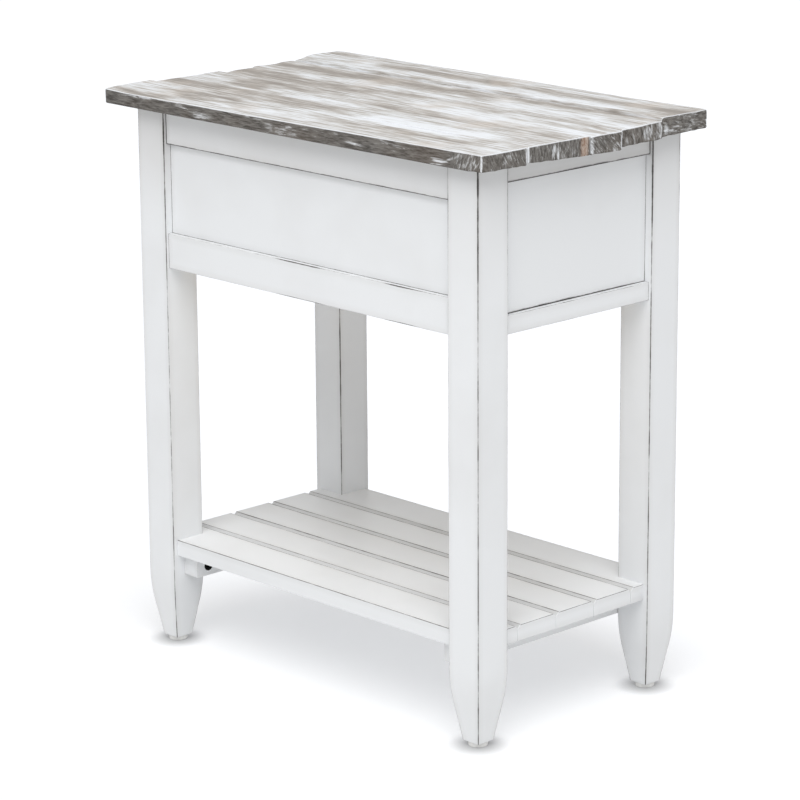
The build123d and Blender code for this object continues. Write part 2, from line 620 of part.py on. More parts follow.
pullout_low = drawer_side_top - PULLOUT_STOP_OVERLAP
with BuildPart() as pullout_stop:
    half = PULLOUT_STOP_WIDTH / 2
    block((-half, half), (pullout_face - PULLOUT_STOP_LENGTH, pullout_face), (pullout_low, kicker_top))
    sink_holes([pullout_screw_point], pullout_low, kicker_top - pullout_low)
save(pullout_stop, "pullout_stop")
pullout_screw = make_screws([pullout_screw_point], pullout_low, kicker_top - pullout_low + SCREW_BITE)
save(pullout_screw, "pullout_stop_screw")
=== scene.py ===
"""Dress the side table with drawer: painted frame, whitewashed plank top, grooved shelf and studio."""
import math

import bmesh
import bpy
from bpy.props import FloatProperty, FloatVectorProperty, PointerProperty
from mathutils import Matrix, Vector, noise


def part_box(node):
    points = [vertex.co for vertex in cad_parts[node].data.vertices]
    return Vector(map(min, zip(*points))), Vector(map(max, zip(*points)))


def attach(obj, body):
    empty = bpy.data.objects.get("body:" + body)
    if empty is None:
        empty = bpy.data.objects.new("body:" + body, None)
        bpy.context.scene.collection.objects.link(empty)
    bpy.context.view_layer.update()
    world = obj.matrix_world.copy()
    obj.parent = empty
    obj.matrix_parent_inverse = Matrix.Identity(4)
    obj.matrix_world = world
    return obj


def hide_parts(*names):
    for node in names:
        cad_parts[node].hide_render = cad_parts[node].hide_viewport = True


bl_info = {
    "name": "Side Table with Drawer",
    "version": (1, 0, 0),
    "blender": (4, 5, 0),
    "location": "3D Viewport > Sidebar > Side Table",
    "description": "Makes the painted and whitewashed finish of a side table on its CAD frame",
    "category": "Object",
}

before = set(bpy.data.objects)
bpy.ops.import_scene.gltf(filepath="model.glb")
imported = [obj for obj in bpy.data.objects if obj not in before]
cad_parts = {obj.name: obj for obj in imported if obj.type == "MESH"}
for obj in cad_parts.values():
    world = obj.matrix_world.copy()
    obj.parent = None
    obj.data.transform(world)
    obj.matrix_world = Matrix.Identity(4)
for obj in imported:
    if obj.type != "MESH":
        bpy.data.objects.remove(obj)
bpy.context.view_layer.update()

MM = 0.001
SIDES = ("right", "left")
ENDS = ("front", "back")
AXES = (Vector((1, 0, 0)), Vector((0, 1, 0)), Vector((0, 0, 1)))
FLAT_AREA = 4e-4            # faces larger than this, in square metres, are flat and shaded so
JOINT_OVERLAP = 2 * MM      # how far a rail or panel runs on, unseen, inside its neighbour
BOARD_EASE = 0.5 * MM       # radius of the shelf boards' arrises
CLEAT_EASE = 0.6 * MM
FRONT_EASE = 0.7 * MM       # of the drawer front
# About how far apart the lattice lines of the painted bars are, and for each axis of legs and planks.
BAR_STEP = 15 * MM
LEG_STEPS = (9 * MM, 9 * MM, 14 * MM)
PLANK_STEPS = (2.6 * MM, 3.5 * MM, 1.2 * MM)

# Width of the glaze lines, and painted shade under the top, for each leg.
LEG_GLAZE_AND_SHADE = {("front", "right"): (1.0, 0.55), ("front", "left"): (1.3, 0.1),
             ("back", "right"): (1.12, 0.25), ("back", "left"): (1.15, 0.3)}
GLAZE_AND_SHADE_START, GLAZE_AND_SHADE_RISE = 500 * MM, 110 * MM    # height from which a leg has wider glaze lines and painted shade, and over which
BOARD_WEAR = (0.6, 0.55, 0.8, 0.7, 0.55)        # of the shelf boards' lines, from right to left
PAINTED_SHADE_START, PAINTED_SHADE_SPAN, PAINTED_SHADE_MOST = 1.35, 0.85, 0.7      # how wear brings painted shade to the shelf, by its grooves
GROOVE_SHADE = 0.13         # painted shade on the bevels of the shelf's grooves
RECESS_WALL = 1.0 * MM      # how far the wall of a bolt's recess stands off the bolt's head
EDGE_TURN = 259 * MM        # from here back, the grain of the top's right edge stands upright

# The studio's floor shows the shadow inside an oval, and a painted contact shadow round each glide.
SHADE_CENTRE, SHADE_STRETCH, SHADE_REACH = (0.08, 0.08, 0), (1.4, 1, 1), (0.36, 0.64)
CONTACT_SHADOW_REACH, CONTACT_SHADOW_DEPTH = (6 * MM, 42 * MM), 0.45
FLOOR_GLOW, FLOOR_TINT = 1.07, (0.975, 0.99, 1.02, 1)
FLOOR_BOUNCE = (0.93, 0.93, 0.93, 1)            # what the floor throws back at the table
FLOOR_HALF = 30.0
SOFTBOX_TOWARDS, SOFTBOX_AIM = Vector((0.44, 0.368, 0.819)), Vector((0, 0, 0.35))
CAMERA_PLACE = (2.56544, 2.67626, 1.30475)
CAMERA_TURN = (75.02335, 0.38941, 136.11341)    # degrees
CAMERA_LENS, CAMERA_SENSOR = 151.1346, 36.0

# Where the wash is rubbed off the top: x at the start and at the end, from y, to y, half width in
# millimetres, and strength.
BARE_BANDS = (
    (-132, -136, -190, 60, 9.0, 0.62), (-136, -142, 40, 330, 9.0, 0.6), (-137, -137, 255, 350, 26.0, 0.65),
    (-157, -157, -310, -205, 6.0, 0.55), (-158, -156, -215, -20, 5.0, 0.35),
    (-74, -80, -350, -60, 16.0, 0.75),
    (-80, -82, -100, 75, 12.0, 0.75), (-88, -97, 40, 268, 7.5, 0.62), (-99, -99, 200, 350, 6.0, 0.5),
    (-24, -10, -350, -170, 17.0, 0.85), (-8, -12, -205, -35, 15.0, 0.7), (-20, -26, -70, 40, 8.0, 0.45),
    (-31, -32, -10, 350, 4.0, 0.3), (12.5, 13, -130, -58, 1.3, 1.0), (20, 20, -240, -80, 9.0, 0.5),
    (32, 30, -250, -85, 9.0, 0.55), (27, 27, -15, 65, 5.0, 0.3), (48, 48, -245, -150, 9.0, 0.5),
    (57, 58, -240, -145, 5.0, 0.8), (39, 43, -50, 350, 7.0, 0.35), (48, 48, 55, 135, 7.0, 0.3),
    (79, 79, -350, -235, 7.0, 0.6), (78, 77, -245, -25, 4.0, 0.3), (91, 91, -350, -190, 11.0, 0.75),
    (91, 92, -225, 28, 12.0, 0.62), (108, 108, -205, -15, 5.0, 0.3), (109, 107, 222, 350, 8.0, 0.35),
    (126, 126, -245, -110, 6.0, 0.75), (128, 129, 90, 275, 7.0, 0.45), (138, 138, -236, -140, 8.0, 0.5),
    (138, 137, 25, 255, 6.0, 0.35), (149, 149, -230, -125, 7.0, 0.3), (160, 160, -305, -190, 6.0, 0.45),
    (168, 168, -295, -190, 5.0, 0.6), (-15, -10, 240, 350, 5.0, 0.2),
)
# Where the wash was laid on thick, in the same order.
WASH_BANDS = (
    (-138, -138, -350, -170, 11.0, 0.5), (-114, -113, -255, 260, 10.0, 0.5), (-108, -108, -55, 250, 7.0, 0.6),
    (-155, -156, 5, 245, 5.0, 0.5), (-45, -43, -235, 105, 9.0, 0.45), (-60, -56, 68, 350, 11.0, 0.8),
    (2, 8, 15, 350, 14.0, 0.7), (17, 18, 55, 180, 7.0, 0.7), (62, 62, -130, 20, 13.0, 0.75),
    (70, 70, -350, -235, 6.0, 0.6), (54, 54, -310, -250, 8.0, 0.5), (93, 94, 40, 265, 14.0, 1.0),
    (108, 109, 15, 215, 7.0, 0.9), (118, 118, -125, 140, 6.0, 0.5), (97, 96, 145, 240, 8.0, 0.5),
    (140, 142, -350, -234, 13.0, 0.8), (150, 148, -95, 35, 9.0, 0.5), (112, 114, -300, -215, 6.0, 0.2),
    (148, 152, 240, 350, 10.0, 0.5),
)
# Wash caught on the long edges: y, height above the plank's underside, half width, half height in
# millimetres, strength, and rise of the stroke along y.
EDGE_MARKS = (
    (-288, 9, 5, 4, 0.6, 0), (-198, 10, 6, 4, 0.5, 0), (-156, 12, 22, 3.5, 0.75, -0.13),
    (-133, 6, 18, 5, 1.0, 0), (-82, 6, 7, 4, 0.5, 0), (-24, 8, 9, 7, 1.05, 0), (9, 7, 20, 7, 1.0, 0),
    (-245, 17.5, 48, 3, 1.2, 0), (-165, 17.5, 22, 2.6, 0.8, 0), (-52, 17, 30, 2.5, 0.7, 0),
    (48, 15, 24, 4, 0.5, 0), (86, 12, 6, 4, 0.7, -0.5), (113, 7.2, 19, 1.8, 1.2, -0.03),
    (165, 12, 28, 5, 0.5, 0), (190, 6, 40, 4, 0.35, 0), (238, 8, 12, 1.0, 1.5, 0.01),
    (243, 5.3, 13, 1.2, 1.9, 0.05), (240, 2, 11, 0.9, 1.6, 0.05), (256, 8.5, 7, 1.5, 1.3, 0.4),
    (266, 12.5, 7, 1.7, 1.2, 0.5), (284, 9, 20, 11, 0.8, 0),
)
# Wash caught on the planks' back ends: x, height, half width, half height, strength, and rise.
END_MARKS = (
    (174, 9, 1.4, 12, 1.5, 0), (132, 12, 5, 5, 0.8, 0), (141, 7, 5, 3, 0.8, 0), (118, 9, 9, 8, 0.45, 0),
    (158, 9, 12, 8, 0.4, 0), (106.2, 9, 2.4, 13, 2.4, 0), (87, 4, 5, 3, 0.8, 0), (67, 9, 2.2, 9, 1.3, 0),
    (60, 9, 2.2, 9, 1.2, 0), (80, 6, 9, 6, 0.35, 0), (40, 9, 15, 9, 0.6, 0), (8.5, 9, 3.4, 9, 1.5, 0),
    (-2, 13, 8, 5, 0.7, 0), (-28, 4, 8, 5, 0.9, 0), (-37.4, 9, 1.2, 12, 2.2, 0), (-14, 8, 12, 9, 0.4, 0),
    (-48, 4, 9, 4, 0.6, 0), (-78, 9, 7, 7, 1.1, 0), (-97, 9, 5, 9, 1.3, 0), (-88, 5, 4, 4, 0.7, 0),
    (-108, 9, 4, 7, 1.3, 0), (-126, 6, 12, 5, 0.75, 0), (-142, 6, 9, 5, 0.6, 0), (-160, 10, 12, 6, 0.5, 0),
    (-173, 9, 1.2, 10, 1.2, 0),
)
BROWN_PATCH = (20.5, 5.5)   # x and half width in millimetres, on the back ends
# Sag of the top's long arris: y and depth in millimetres.
ARRIS_SAG = ((-304, 1.4), (-267, 2.4), (-196, 2.5), (-161, 1.8), (60, 0.9), (229, 0.1), (304, 0.1))
# How far each plank's underside wanders past the back rail, at its left and right edge, in mm.
UNDERSIDE_DROPS = ((-0.5, 0.5), (-3.2, 1.4), (-3.9, -2.8), (-0.4, -1.0), (2.2, 1.6))
# The same for the top of their back ends.
TOP_DROPS = ((0.3, 0.5), (0.0, 0.2), (-1.6, -1.4), (0.3, -0.3), (0.4, 0.4))
# Direction in which each plank's ends were brushed, in degrees from level.
BRUSH_ANGLES = (62, 84, 48, 78, 8)


def hex_colour(text):
    """Turn an sRGB hex colour into a linear RGBA one."""
    parts = [int(text[i:i + 2], 16) / 255 for i in (0, 2, 4)]
    return tuple(c / 12.92 if c <= 0.04045 else ((c + 0.055) / 1.055) ** 2.4 for c in parts) + (1.0,)


def colour_property(name, text, description):
    """Declare a colour that a user can change."""
    return FloatVectorProperty(
        name=name, description=description, subtype="COLOR", size=4, min=0.0, max=1.0,
        default=hex_colour(text),
    )


def length_property(name, millimetres, most, description):
    """Declare a length that a user can change."""
    return FloatProperty(
        name=name, description=description, default=millimetres * MM, min=0.0, max=most * MM,
        unit="LENGTH", precision=4,
    )


# ---- Settings that a user can change ---------------------------------------------------
class SideTableSizes(bpy.types.PropertyGroup):
    """Sizes of the details that the finish adds to the frame."""

    leg_ease: length_property("Leg arris", 1.2, 4, "Radius of the legs' sanded arrises")
    rail_ease: length_property("Rail arris", 0.9, 4, "Radius of the rails' and boards' arrises")
    plank_ease: length_property("Plank wear", 1.8, 5, "Mean radius of the planks' worn arrises")
    plank_wave: length_property("Plank wave", 0.8, 3, "Height of the waves in the planks' faces")
    end_wave: length_property("End wave", 3.0, 8, "How unevenly the planks' front ends are cut")
    foot_width: length_property("Foot", 23.5, 44, "Width of a leg at the floor end of its taper")
    taper_height: length_property(
        "Taper", 68, 150, "Height above the floor at which the taper meets the post")
    taper_blend: length_property("Taper blend", 21, 40, "Half length of the curve that starts the taper")
    groove: length_property("Shelf groove", 4.3, 8, "Width of the bevel on a shelf board's inner edges")


class SideTableColours(bpy.types.PropertyGroup):
    """Colours of the finishes."""

    paint: colour_property("Paint", "EEF0F2", "White furniture paint")
    # Paint under thin wiped glaze, and also the painted shade under the top and by the shelf's grooves.
    paint_glazed_and_shaded: colour_property("Paint shade", "D6D5D4", "Paint where glaze was wiped thin over it")
    # The glaze lines, and also the painted shade in the shelf's grooves and the bolts' recesses.
    glaze_and_shade: colour_property("Glaze", "241D19", "Dark glaze left in the arrises and corners")
    bare: colour_property("Plank", "9B958F", "Weathered plank where the wash is rubbed off")
    bare_warm: colour_property("Pale plank", "B5AFA9", "Paler streaks of the weathered plank")
    wash_warm: colour_property("Thin wash", "D2D1CF", "Thin wash that lets the wood show")
    wash: colour_property("Wash", "EDF0F4", "White wash on the planks")
    cream: colour_property("Cream", "D6CBC0", "Cream patches where the wash has yellowed")
    sawn: colour_property("Sawn edge", "4B4845", "Dark stain on the planks' edges and ends")
    sawn_pale: colour_property("Pale sawn edge", "807D79", "Paler fibres on the planks' edges and ends")
    umber: colour_property("Umber", "62503F", "Browner wood under the stain")
    brown: colour_property("Brown patch", "8C6449", "Unstained wood on one end")
    pine: colour_property("Pine", "DDCDB2", "Bare softwood inside")
    pine_late: colour_property("Pine rings", "BC9C76", "Late-wood lines of the softwood")


class SideTableStudio(bpy.types.PropertyGroup):
    """Strength of the studio's light."""

    dome: FloatProperty(
        name="Dome", description="Strength of the even light all round", default=0.465, min=0.0, max=3.0)
    softbox: FloatProperty(
        name="Softbox", description="Power of the round softbox above the near corner", default=188.0,
        min=0.0, max=2000.0, unit="POWER")
    softbox_size: FloatProperty(
        name="Softbox size", description="Diameter of the softbox", default=4.6, min=0.1, max=20.0,
        unit="LENGTH")
    softbox_reach: FloatProperty(
        name="Softbox reach", description="Distance from the softbox to the table", default=5.0, min=1.0,
        max=20.0, unit="LENGTH")
    shadow: FloatProperty(
        name="Shadow", description="How much of the table's shadow shows on the floor", default=0.64,
        min=0.0, max=1.0, subtype="FACTOR")
    floor_light: FloatProperty(
        name="Floor light", description="Light that falls on the open floor, which the shadow takes away",
        default=0.96, min=0.0, max=2.0, subtype="FACTOR")


# ---- Node and mesh helpers -------------------------------------------------------------
def feed(node, inputs):
    """Set a node's sockets, by name or number; a node as a value links its first output in use."""
    for key, value in inputs.items():
        if isinstance(value, bpy.types.Node):
            value = next(output for output in value.outputs if output.enabled)
        if isinstance(value, bpy.types.NodeSocket):
            node.id_data.links.new(value, node.inputs[key])
        else:
            node.inputs[key].default_value = value


def add(tree, kind, inputs=None, **settings):
    """Add one node with its settings, values and links."""
    node = tree.nodes.new(kind)
    for key, value in settings.items():
        setattr(node, key, value)
    feed(node, inputs or {})
    return node


def smooth(value):
    """Ease a value from 0 to 1, clamped."""
    value = min(max(value, 0.0), 1.0)
    return value * value * (3 - 2 * value)


def between(table, place):
    """Read a table of (place, value) pairs, straight between its rows."""
    if place <= table[0][0]:
        return table[0][1]
    for (a, va), (b, vb) in zip(table, table[1:]):
        if place <= b:
            return va + (vb - va) * (place - a) / (b - a)
    return table[-1][1]


def waver(x, y, z=0.0):
    """Smooth noise from -1 to 1 at a place given in noise cells."""
    return noise.noise(Vector((x, y, z)))


def spaced(low, high, step, ease):
    """Lattice lines from low to high: crowded at both arrises, and about a step apart between."""
    near = [0.0, 0.35 * ease, 0.75 * ease, 1.15 * ease]
    start, stop = low + 1.8 * ease, high - 1.8 * ease
    count = max(1, round((stop - start) / step))
    inner = [start + (stop - start) * i / count for i in range(count + 1)]
    return [low + n for n in near] + inner + [high - n for n in reversed(near)]


def soften(point, low, high, ease):
    """Move a point of a sharp box onto the same box with its arrises rounded."""
    core = Vector([min(max(c, a + ease), b - ease) for c, a, b in zip(point, low, high)])
    out = point - core
    return core + out.normalized() * ease if out.length > 1e-9 else core


def mark(mesh, rules, points=None):
    """Store the number or vector that each rule gives for each vertex, for materials to read."""
    points = points or [vertex.co for vertex in mesh.vertices]
    for label, rule in rules.items():
        values = [rule(p) for p in points]
        if isinstance(values[0], Vector):
            layer = mesh.attributes.new(label, "FLOAT_VECTOR", "POINT")
            layer.data.foreach_set("vector", [c for v in values for c in v])
        else:
            layer = mesh.attributes.new(label, "FLOAT", "POINT")
            layer.data.foreach_set("value", [float(v) for v in values])


def paint_crease_shade(mesh, rule):
    """Store for each face how much painted shade darkens all of it, in grooves and recesses."""
    layer = mesh.attributes.new("crease_shade", "FLOAT", "FACE")
    layer.data.foreach_set("value", [float(rule(face.center)) for face in mesh.polygons])


def lattice_mesh(name, lines, place, marks):
    """Make a closed box of quads from lattice lines, shaped by place and painted by marks."""
    last = [len(line) - 1 for line in lines]
    numbers, points, faces = {}, [], []

    def spot(*index):
        if index not in numbers:
            numbers[index] = len(points)
            points.append(Vector([line[i] for line, i in zip(lines, index)]))
        return numbers[index]

    for axis in range(3):
        u, v = (axis + 1) % 3, (axis + 2) % 3
        for level in (0, last[axis]):
            for i in range(last[u]):
                for j in range(last[v]):
                    ring = []
                    for di, dj in ((0, 0), (1, 0), (1, 1), (0, 1)):
                        index = [0, 0, 0]
                        index[axis], index[u], index[v] = level, i + di, j + dj
                        ring.append(spot(*index))
                    faces.append(ring if level else ring[::-1])
    mesh = bpy.data.meshes.new(name)
    mesh.from_pydata([place(p) for p in points], [], faces)
    mark(mesh, marks, points)
    return mesh


def finish_piece(name, mesh, material, nodes, body="table"):
    """Put a mesh in the scene as a piece that stands for CAD nodes and rides on their body."""
    if not mesh.materials:
        mesh.materials.append(bpy.data.materials[material])
    mesh.polygons.foreach_set("use_smooth", [face.area < FLAT_AREA for face in mesh.polygons])
    piece = bpy.data.objects.new(name, mesh)
    bpy.context.scene.collection.objects.link(piece)
    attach(piece, body)
    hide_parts(*nodes)


def finish_painted(node, mesh, body="table"):
    """Put a painted mesh in the scene in place of one CAD node."""
    finish_piece("painted_" + node, mesh, "glazed_white_paint", [node], body)


def glaze_and_shade_marks(low, high, grain, wear, painted_shade=lambda p: 0.0):
    """Marks for the paint: the box whose edges hold glaze, the wood's direction, the width of the glaze lines
    and the painted shade that darkens the faces."""
    centre, half = (low + high) / 2, (high - low) / 2
    return {"line_centre": lambda p: centre, "line_half": lambda p: half, "grain": lambda p: grain,
            "wear": wear, "painted_shade": painted_shade}


def eased_copy(name, node, ease):
    """Copy a CAD node's mesh, join its loose triangles and ease its arrises."""
    mesh = bpy.data.objects[node].data.copy()
    mesh.name = name
    for attribute in [a.name for a in mesh.attributes if not a.is_internal and not a.is_required]:
        mesh.attributes.remove(mesh.attributes[attribute])
    mesh.materials.clear()
    work = bmesh.new()
    work.from_mesh(mesh)
    bmesh.ops.remove_doubles(work, verts=work.verts, dist=1e-6)
    bmesh.ops.dissolve_limit(work, angle_limit=math.radians(0.5), verts=work.verts, edges=work.edges)
    sharp = [e for e in work.edges if e.is_manifold and e.calc_face_angle(0.0) > math.radians(40)]
    bmesh.ops.bevel(work, geom=sharp, offset=ease, segments=2, profile=0.5, affect="EDGES",
                    clamp_overlap=True)
    work.to_mesh(mesh)
    work.free()
    return mesh


def corners(node):
    """Lowest and highest corner of a CAD node, as vectors."""
    low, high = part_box(node)
    return Vector(low), Vector(high)


def new_material(name):
    """Make a material with nodes and return its tree and its Principled shader."""
    material = bpy.data.materials.new(name)
    material.use_nodes = True
    tree = material.node_tree
    return tree, tree.nodes["Principled BSDF"]


def grain_coordinates(tree, keep):
    """Object coordinates, and the same squeezed along the grain so that a noise becomes streaks."""
    place = add(tree, "ShaderNodeTexCoord").outputs["Object"]
    grain = add(tree, "ShaderNodeAttribute", attribute_name="grain").outputs["Vector"]
    along = add(tree, "ShaderNodeVectorMath", {0: place, 1: grain}, operation="DOT_PRODUCT")
    drop = add(tree, "ShaderNodeMath", {0: along, 1: 1.0 - keep}, operation="MULTIPLY")
    shift = add(tree, "ShaderNodeVectorMath", {0: grain, "Scale": drop}, operation="SCALE")
    return place, add(tree, "ShaderNodeVectorMath", {0: place, 1: shift}, operation="SUBTRACT")


# ---- Materials -------------------------------------------------------------------------
def make_paint(colours):
    """Satin furniture paint, brushed on, sanded at the arrises and wiped with a dark glaze.

    It gives the eye an almost even white with a low sheen, faint brush lines along each piece, and thin
    broken brown-black lines where the glaze caught on arrises and in corners. Painted shade darkens it under
    the top, in the shelf's grooves and in the bolts' recesses.
    """
    tree, shader = new_material("glazed_white_paint")
    place, squeezed = grain_coordinates(tree, 0.05)
    centre, half = [add(tree, "ShaderNodeAttribute", attribute_name=label).outputs["Vector"]
                    for label in ("line_centre", "line_half")]
    wear, painted_shade, crease_shade = [add(tree, "ShaderNodeAttribute", attribute_name=label).outputs["Fac"]
                          for label in ("wear", "painted_shade", "crease_shade")]
    offset = add(tree, "ShaderNodeVectorMath", {0: place, 1: centre}, operation="SUBTRACT")
    reach = add(tree, "ShaderNodeVectorMath", {0: offset}, operation="ABSOLUTE")
    depth = add(tree, "ShaderNodeVectorMath", {0: half, 1: reach}, operation="SUBTRACT")
    x, y, z = add(tree, "ShaderNodeSeparateXYZ", {0: depth}).outputs
    # The middle one of the three depths is the distance along the surface to the nearest arris.
    least = add(tree, "ShaderNodeMath", {0: x, 1: y}, operation="MINIMUM")
    most = add(tree, "ShaderNodeMath", {0: x, 1: y}, operation="MAXIMUM")
    upper = add(tree, "ShaderNodeMath", {0: most, 1: z}, operation="MINIMUM")
    middle = add(tree, "ShaderNodeMath", {0: least, 1: upper}, operation="MAXIMUM")
    arris = add(tree, "ShaderNodeMath", {0: middle}, operation="ABSOLUTE")
    # The glaze line breaks up over 30 mm and, finer, over 1 mm.
    breaks = add(tree, "ShaderNodeTexNoise", {
        "Vector": place, "Scale": 33.0, "Detail": 6.0, "Roughness": 0.7})
    width = add(tree, "ShaderNodeMapRange", {
        "Value": breaks, "From Min": 0.36, "From Max": 0.62, "To Min": 0.7 * MM, "To Max": 1.35 * MM})
    worn = add(tree, "ShaderNodeMath", {0: width, 1: wear}, operation="MULTIPLY")
    safe = add(tree, "ShaderNodeMath", {0: worn, 1: 0.01 * MM}, operation="MAXIMUM")
    line = add(tree, "ShaderNodeMapRange", {
        "Value": arris, "From Min": 0.0, "From Max": safe, "To Min": 1.0, "To Max": 0.0},
        interpolation_type="SMOOTHSTEP")
    # Glaze lines, and painted shade in the grooves and the bolts' recesses.
    dark = add(tree, "ShaderNodeMath", {0: line, 1: 1.3, 2: crease_shade}, operation="MULTIPLY_ADD", use_clamp=True)
    # A breath of wiped glaze within 8 mm of an arris, the painted shade that a piece is given, and clouds 110
    # mm across.
    breath = add(tree, "ShaderNodeMapRange", {
        "Value": arris, "From Min": 0.0, "From Max": 8 * MM, "To Min": 0.32, "To Max": 0.0})
    cloud = add(tree, "ShaderNodeTexNoise", {"Vector": place, "Scale": 9.0, "Detail": 3.0})
    tint = add(tree, "ShaderNodeMapRange", {
        "Value": cloud, "From Min": 0.45, "From Max": 0.8, "To Min": 0.0, "To Max": 0.25})
    wiped_and_shaded = add(tree, "ShaderNodeMath", {0: breath, 1: painted_shade}, operation="ADD")
    haze = add(tree, "ShaderNodeMath", {0: wiped_and_shaded, 1: tint}, operation="ADD", use_clamp=True)
    coat = add(tree, "ShaderNodeMix", {0: haze, 6: colours.paint, 7: colours.paint_glazed_and_shaded}, data_type="RGBA")
    skin = add(tree, "ShaderNodeMix", {0: dark, 6: coat, 7: colours.glaze_and_shade}, data_type="RGBA")
    rough = add(tree, "ShaderNodeMapRange", {"Value": dark, "To Min": 0.42, "To Max": 0.75})
    # Brush lines are 2.4 mm apart.
    brush = add(tree, "ShaderNodeTexNoise", {"Vector": squeezed, "Scale": 420.0, "Detail": 3.0})
    bump = add(tree, "ShaderNodeBump", {"Height": brush, "Strength": 0.4, "Distance": 0.12 * MM})
    feed(shader, {"Base Color": skin, "Roughness": rough, "Normal": bump})


def make_plank_wash(colours):
    """Weathered softwood planks, brushed with white wash, rubbed back, and stained dark at the edges.

    It gives the eye long soft streaks of taupe, grey and cold white with fine grain in them, and
    dark rough edges that carry dry white brush marks.
    """
    tree, shader = new_material("whitewashed_weathered_pine")
    place, squeezed = grain_coordinates(tree, 0.06)
    mild = grain_coordinates(tree, 0.27)[1]
    wash, edge, patch, brown = [add(tree, "ShaderNodeAttribute", attribute_name=label).outputs["Fac"]
                                for label in ("wash", "edge", "patch", "brown")]
    # Streaks 14 mm across, grain 3 mm across (real grain is finer than the eye can part from afar),
    # dry-brush specks 4 mm across, and clouds 70 mm across.
    streak = add(tree, "ShaderNodeTexNoise", {
        "Vector": squeezed, "Scale": 70.0, "Detail": 5.0, "Roughness": 0.65})
    fine = add(tree, "ShaderNodeTexNoise", {
        "Vector": squeezed, "Scale": 330.0, "Detail": 2.0, "Roughness": 0.7})
    speck = add(tree, "ShaderNodeTexNoise", {
        "Vector": mild, "Scale": 230.0, "Detail": 4.0, "Roughness": 0.7})
    cloud = add(tree, "ShaderNodeTexNoise", {"Vector": place, "Scale": 14.0, "Detail": 4.0})
    cover = wash
    for pattern, share in ((streak, 0.7), (fine, 2.3), (speck, 0.4)):
        cover = add(tree, "ShaderNodeMath", {0: pattern, 1: share, 2: cover}, operation="MULTIPLY_ADD")
    cover = add(tree, "ShaderNodeMath", {0: cover, 1: 1.72}, operation="SUBTRACT")
    ramp = add(tree, "ShaderNodeValToRGB", {0: cover})
    stops = ((0.0, colours.bare), (0.3, colours.bare_warm), (0.62, colours.wash_warm), (1.0, colours.wash))
    while len(ramp.color_ramp.elements) < len(stops):
        ramp.color_ramp.elements.new(0.5)
    for element, (position, colour) in zip(ramp.color_ramp.elements, stops):
        element.position = position
        element.color = colour
    cream = add(tree, "ShaderNodeMapRange", {
        "Value": cloud, "From Min": 0.55, "From Max": 0.75, "To Min": 0.0, "To Max": 0.45})
    face = add(tree, "ShaderNodeMix", {0: cream, 6: ramp, 7: colours.cream}, data_type="RGBA")
    # The dark stain stops unevenly at the worn arris.
    ragged = add(tree, "ShaderNodeMath", {0: speck, 1: 0.8, 2: edge}, operation="MULTIPLY_ADD")
    border = add(tree, "ShaderNodeMapRange", {"Value": ragged, "From Min": 0.85, "From Max": 1.1})
    # Fibres 2.3 mm across, broken up over 9 mm.
    tuft = add(tree, "ShaderNodeTexNoise", {
        "Vector": mild, "Scale": 430.0, "Detail": 4.0, "Roughness": 0.7, "Distortion": 0.5})
    dabs = add(tree, "ShaderNodeMath", {0: patch, 1: 0.1, 2: tuft}, operation="MULTIPLY_ADD")
    fibre = add(tree, "ShaderNodeMapRange", {
        "Value": dabs, "From Min": 0.39, "From Max": 0.62, "To Min": 0.0, "To Max": 1.0})
    warm = add(tree, "ShaderNodeMapRange", {
        "Value": cloud, "From Min": 0.45, "From Max": 0.7, "To Min": 0.0, "To Max": 0.25})
    rusty = add(tree, "ShaderNodeMath", {0: fibre, 1: brown}, operation="MULTIPLY")
    # Dry brush marks: specks and fibres together, where a mark lies or by chance.
    aimed = add(tree, "ShaderNodeMath", {0: patch, 1: 0.3, 2: tuft}, operation="MULTIPLY_ADD")
    touch = add(tree, "ShaderNodeMath", {0: speck, 1: 0.8, 2: aimed}, operation="MULTIPLY_ADD")
    smear = add(tree, "ShaderNodeMapRange", {
        "Value": touch, "From Min": 1.11, "From Max": 1.4, "To Min": 0.0, "To Max": 0.8})
    side = colours.sawn
    for share, colour in ((fibre, colours.sawn_pale), (warm, colours.umber), (brown, colours.brown),
                          (rusty, colours.cream), (smear, colours.wash)):
        side = add(tree, "ShaderNodeMix", {0: share, 6: side, 7: colour}, data_type="RGBA")
    both = add(tree, "ShaderNodeMix", {0: border, 6: face, 7: side}, data_type="RGBA")
    # The arris itself carries a bright broken line of the wash colour.
    away = add(tree, "ShaderNodeMath", {0: edge, 1: 0.45}, operation="SUBTRACT")
    apart = add(tree, "ShaderNodeMath", {0: away}, operation="ABSOLUTE")
    arris_band = add(tree, "ShaderNodeMath", {0: streak, 1: -0.5, 2: apart}, operation="MULTIPLY_ADD")
    bright = add(tree, "ShaderNodeMapRange", {
        "Value": arris_band, "From Min": -0.16, "From Max": 0.12, "To Min": 0.85, "To Max": 0.0})
    whole = add(tree, "ShaderNodeMix", {0: bright, 6: both, 7: colours.wash}, data_type="RGBA")
    rough = add(tree, "ShaderNodeMapRange", {"Value": border, "To Min": 0.8, "To Max": 0.9})
    relief = add(tree, "ShaderNodeMath", {0: tuft, 1: 0.5, 2: fine}, operation="MULTIPLY_ADD")
    bump = add(tree, "ShaderNodeBump", {"Height": relief, "Strength": 0.6, "Distance": 0.35 * MM})
    feed(shader, {"Base Color": whole, "Roughness": rough, "Specular IOR Level": 0.3, "Normal": bump})


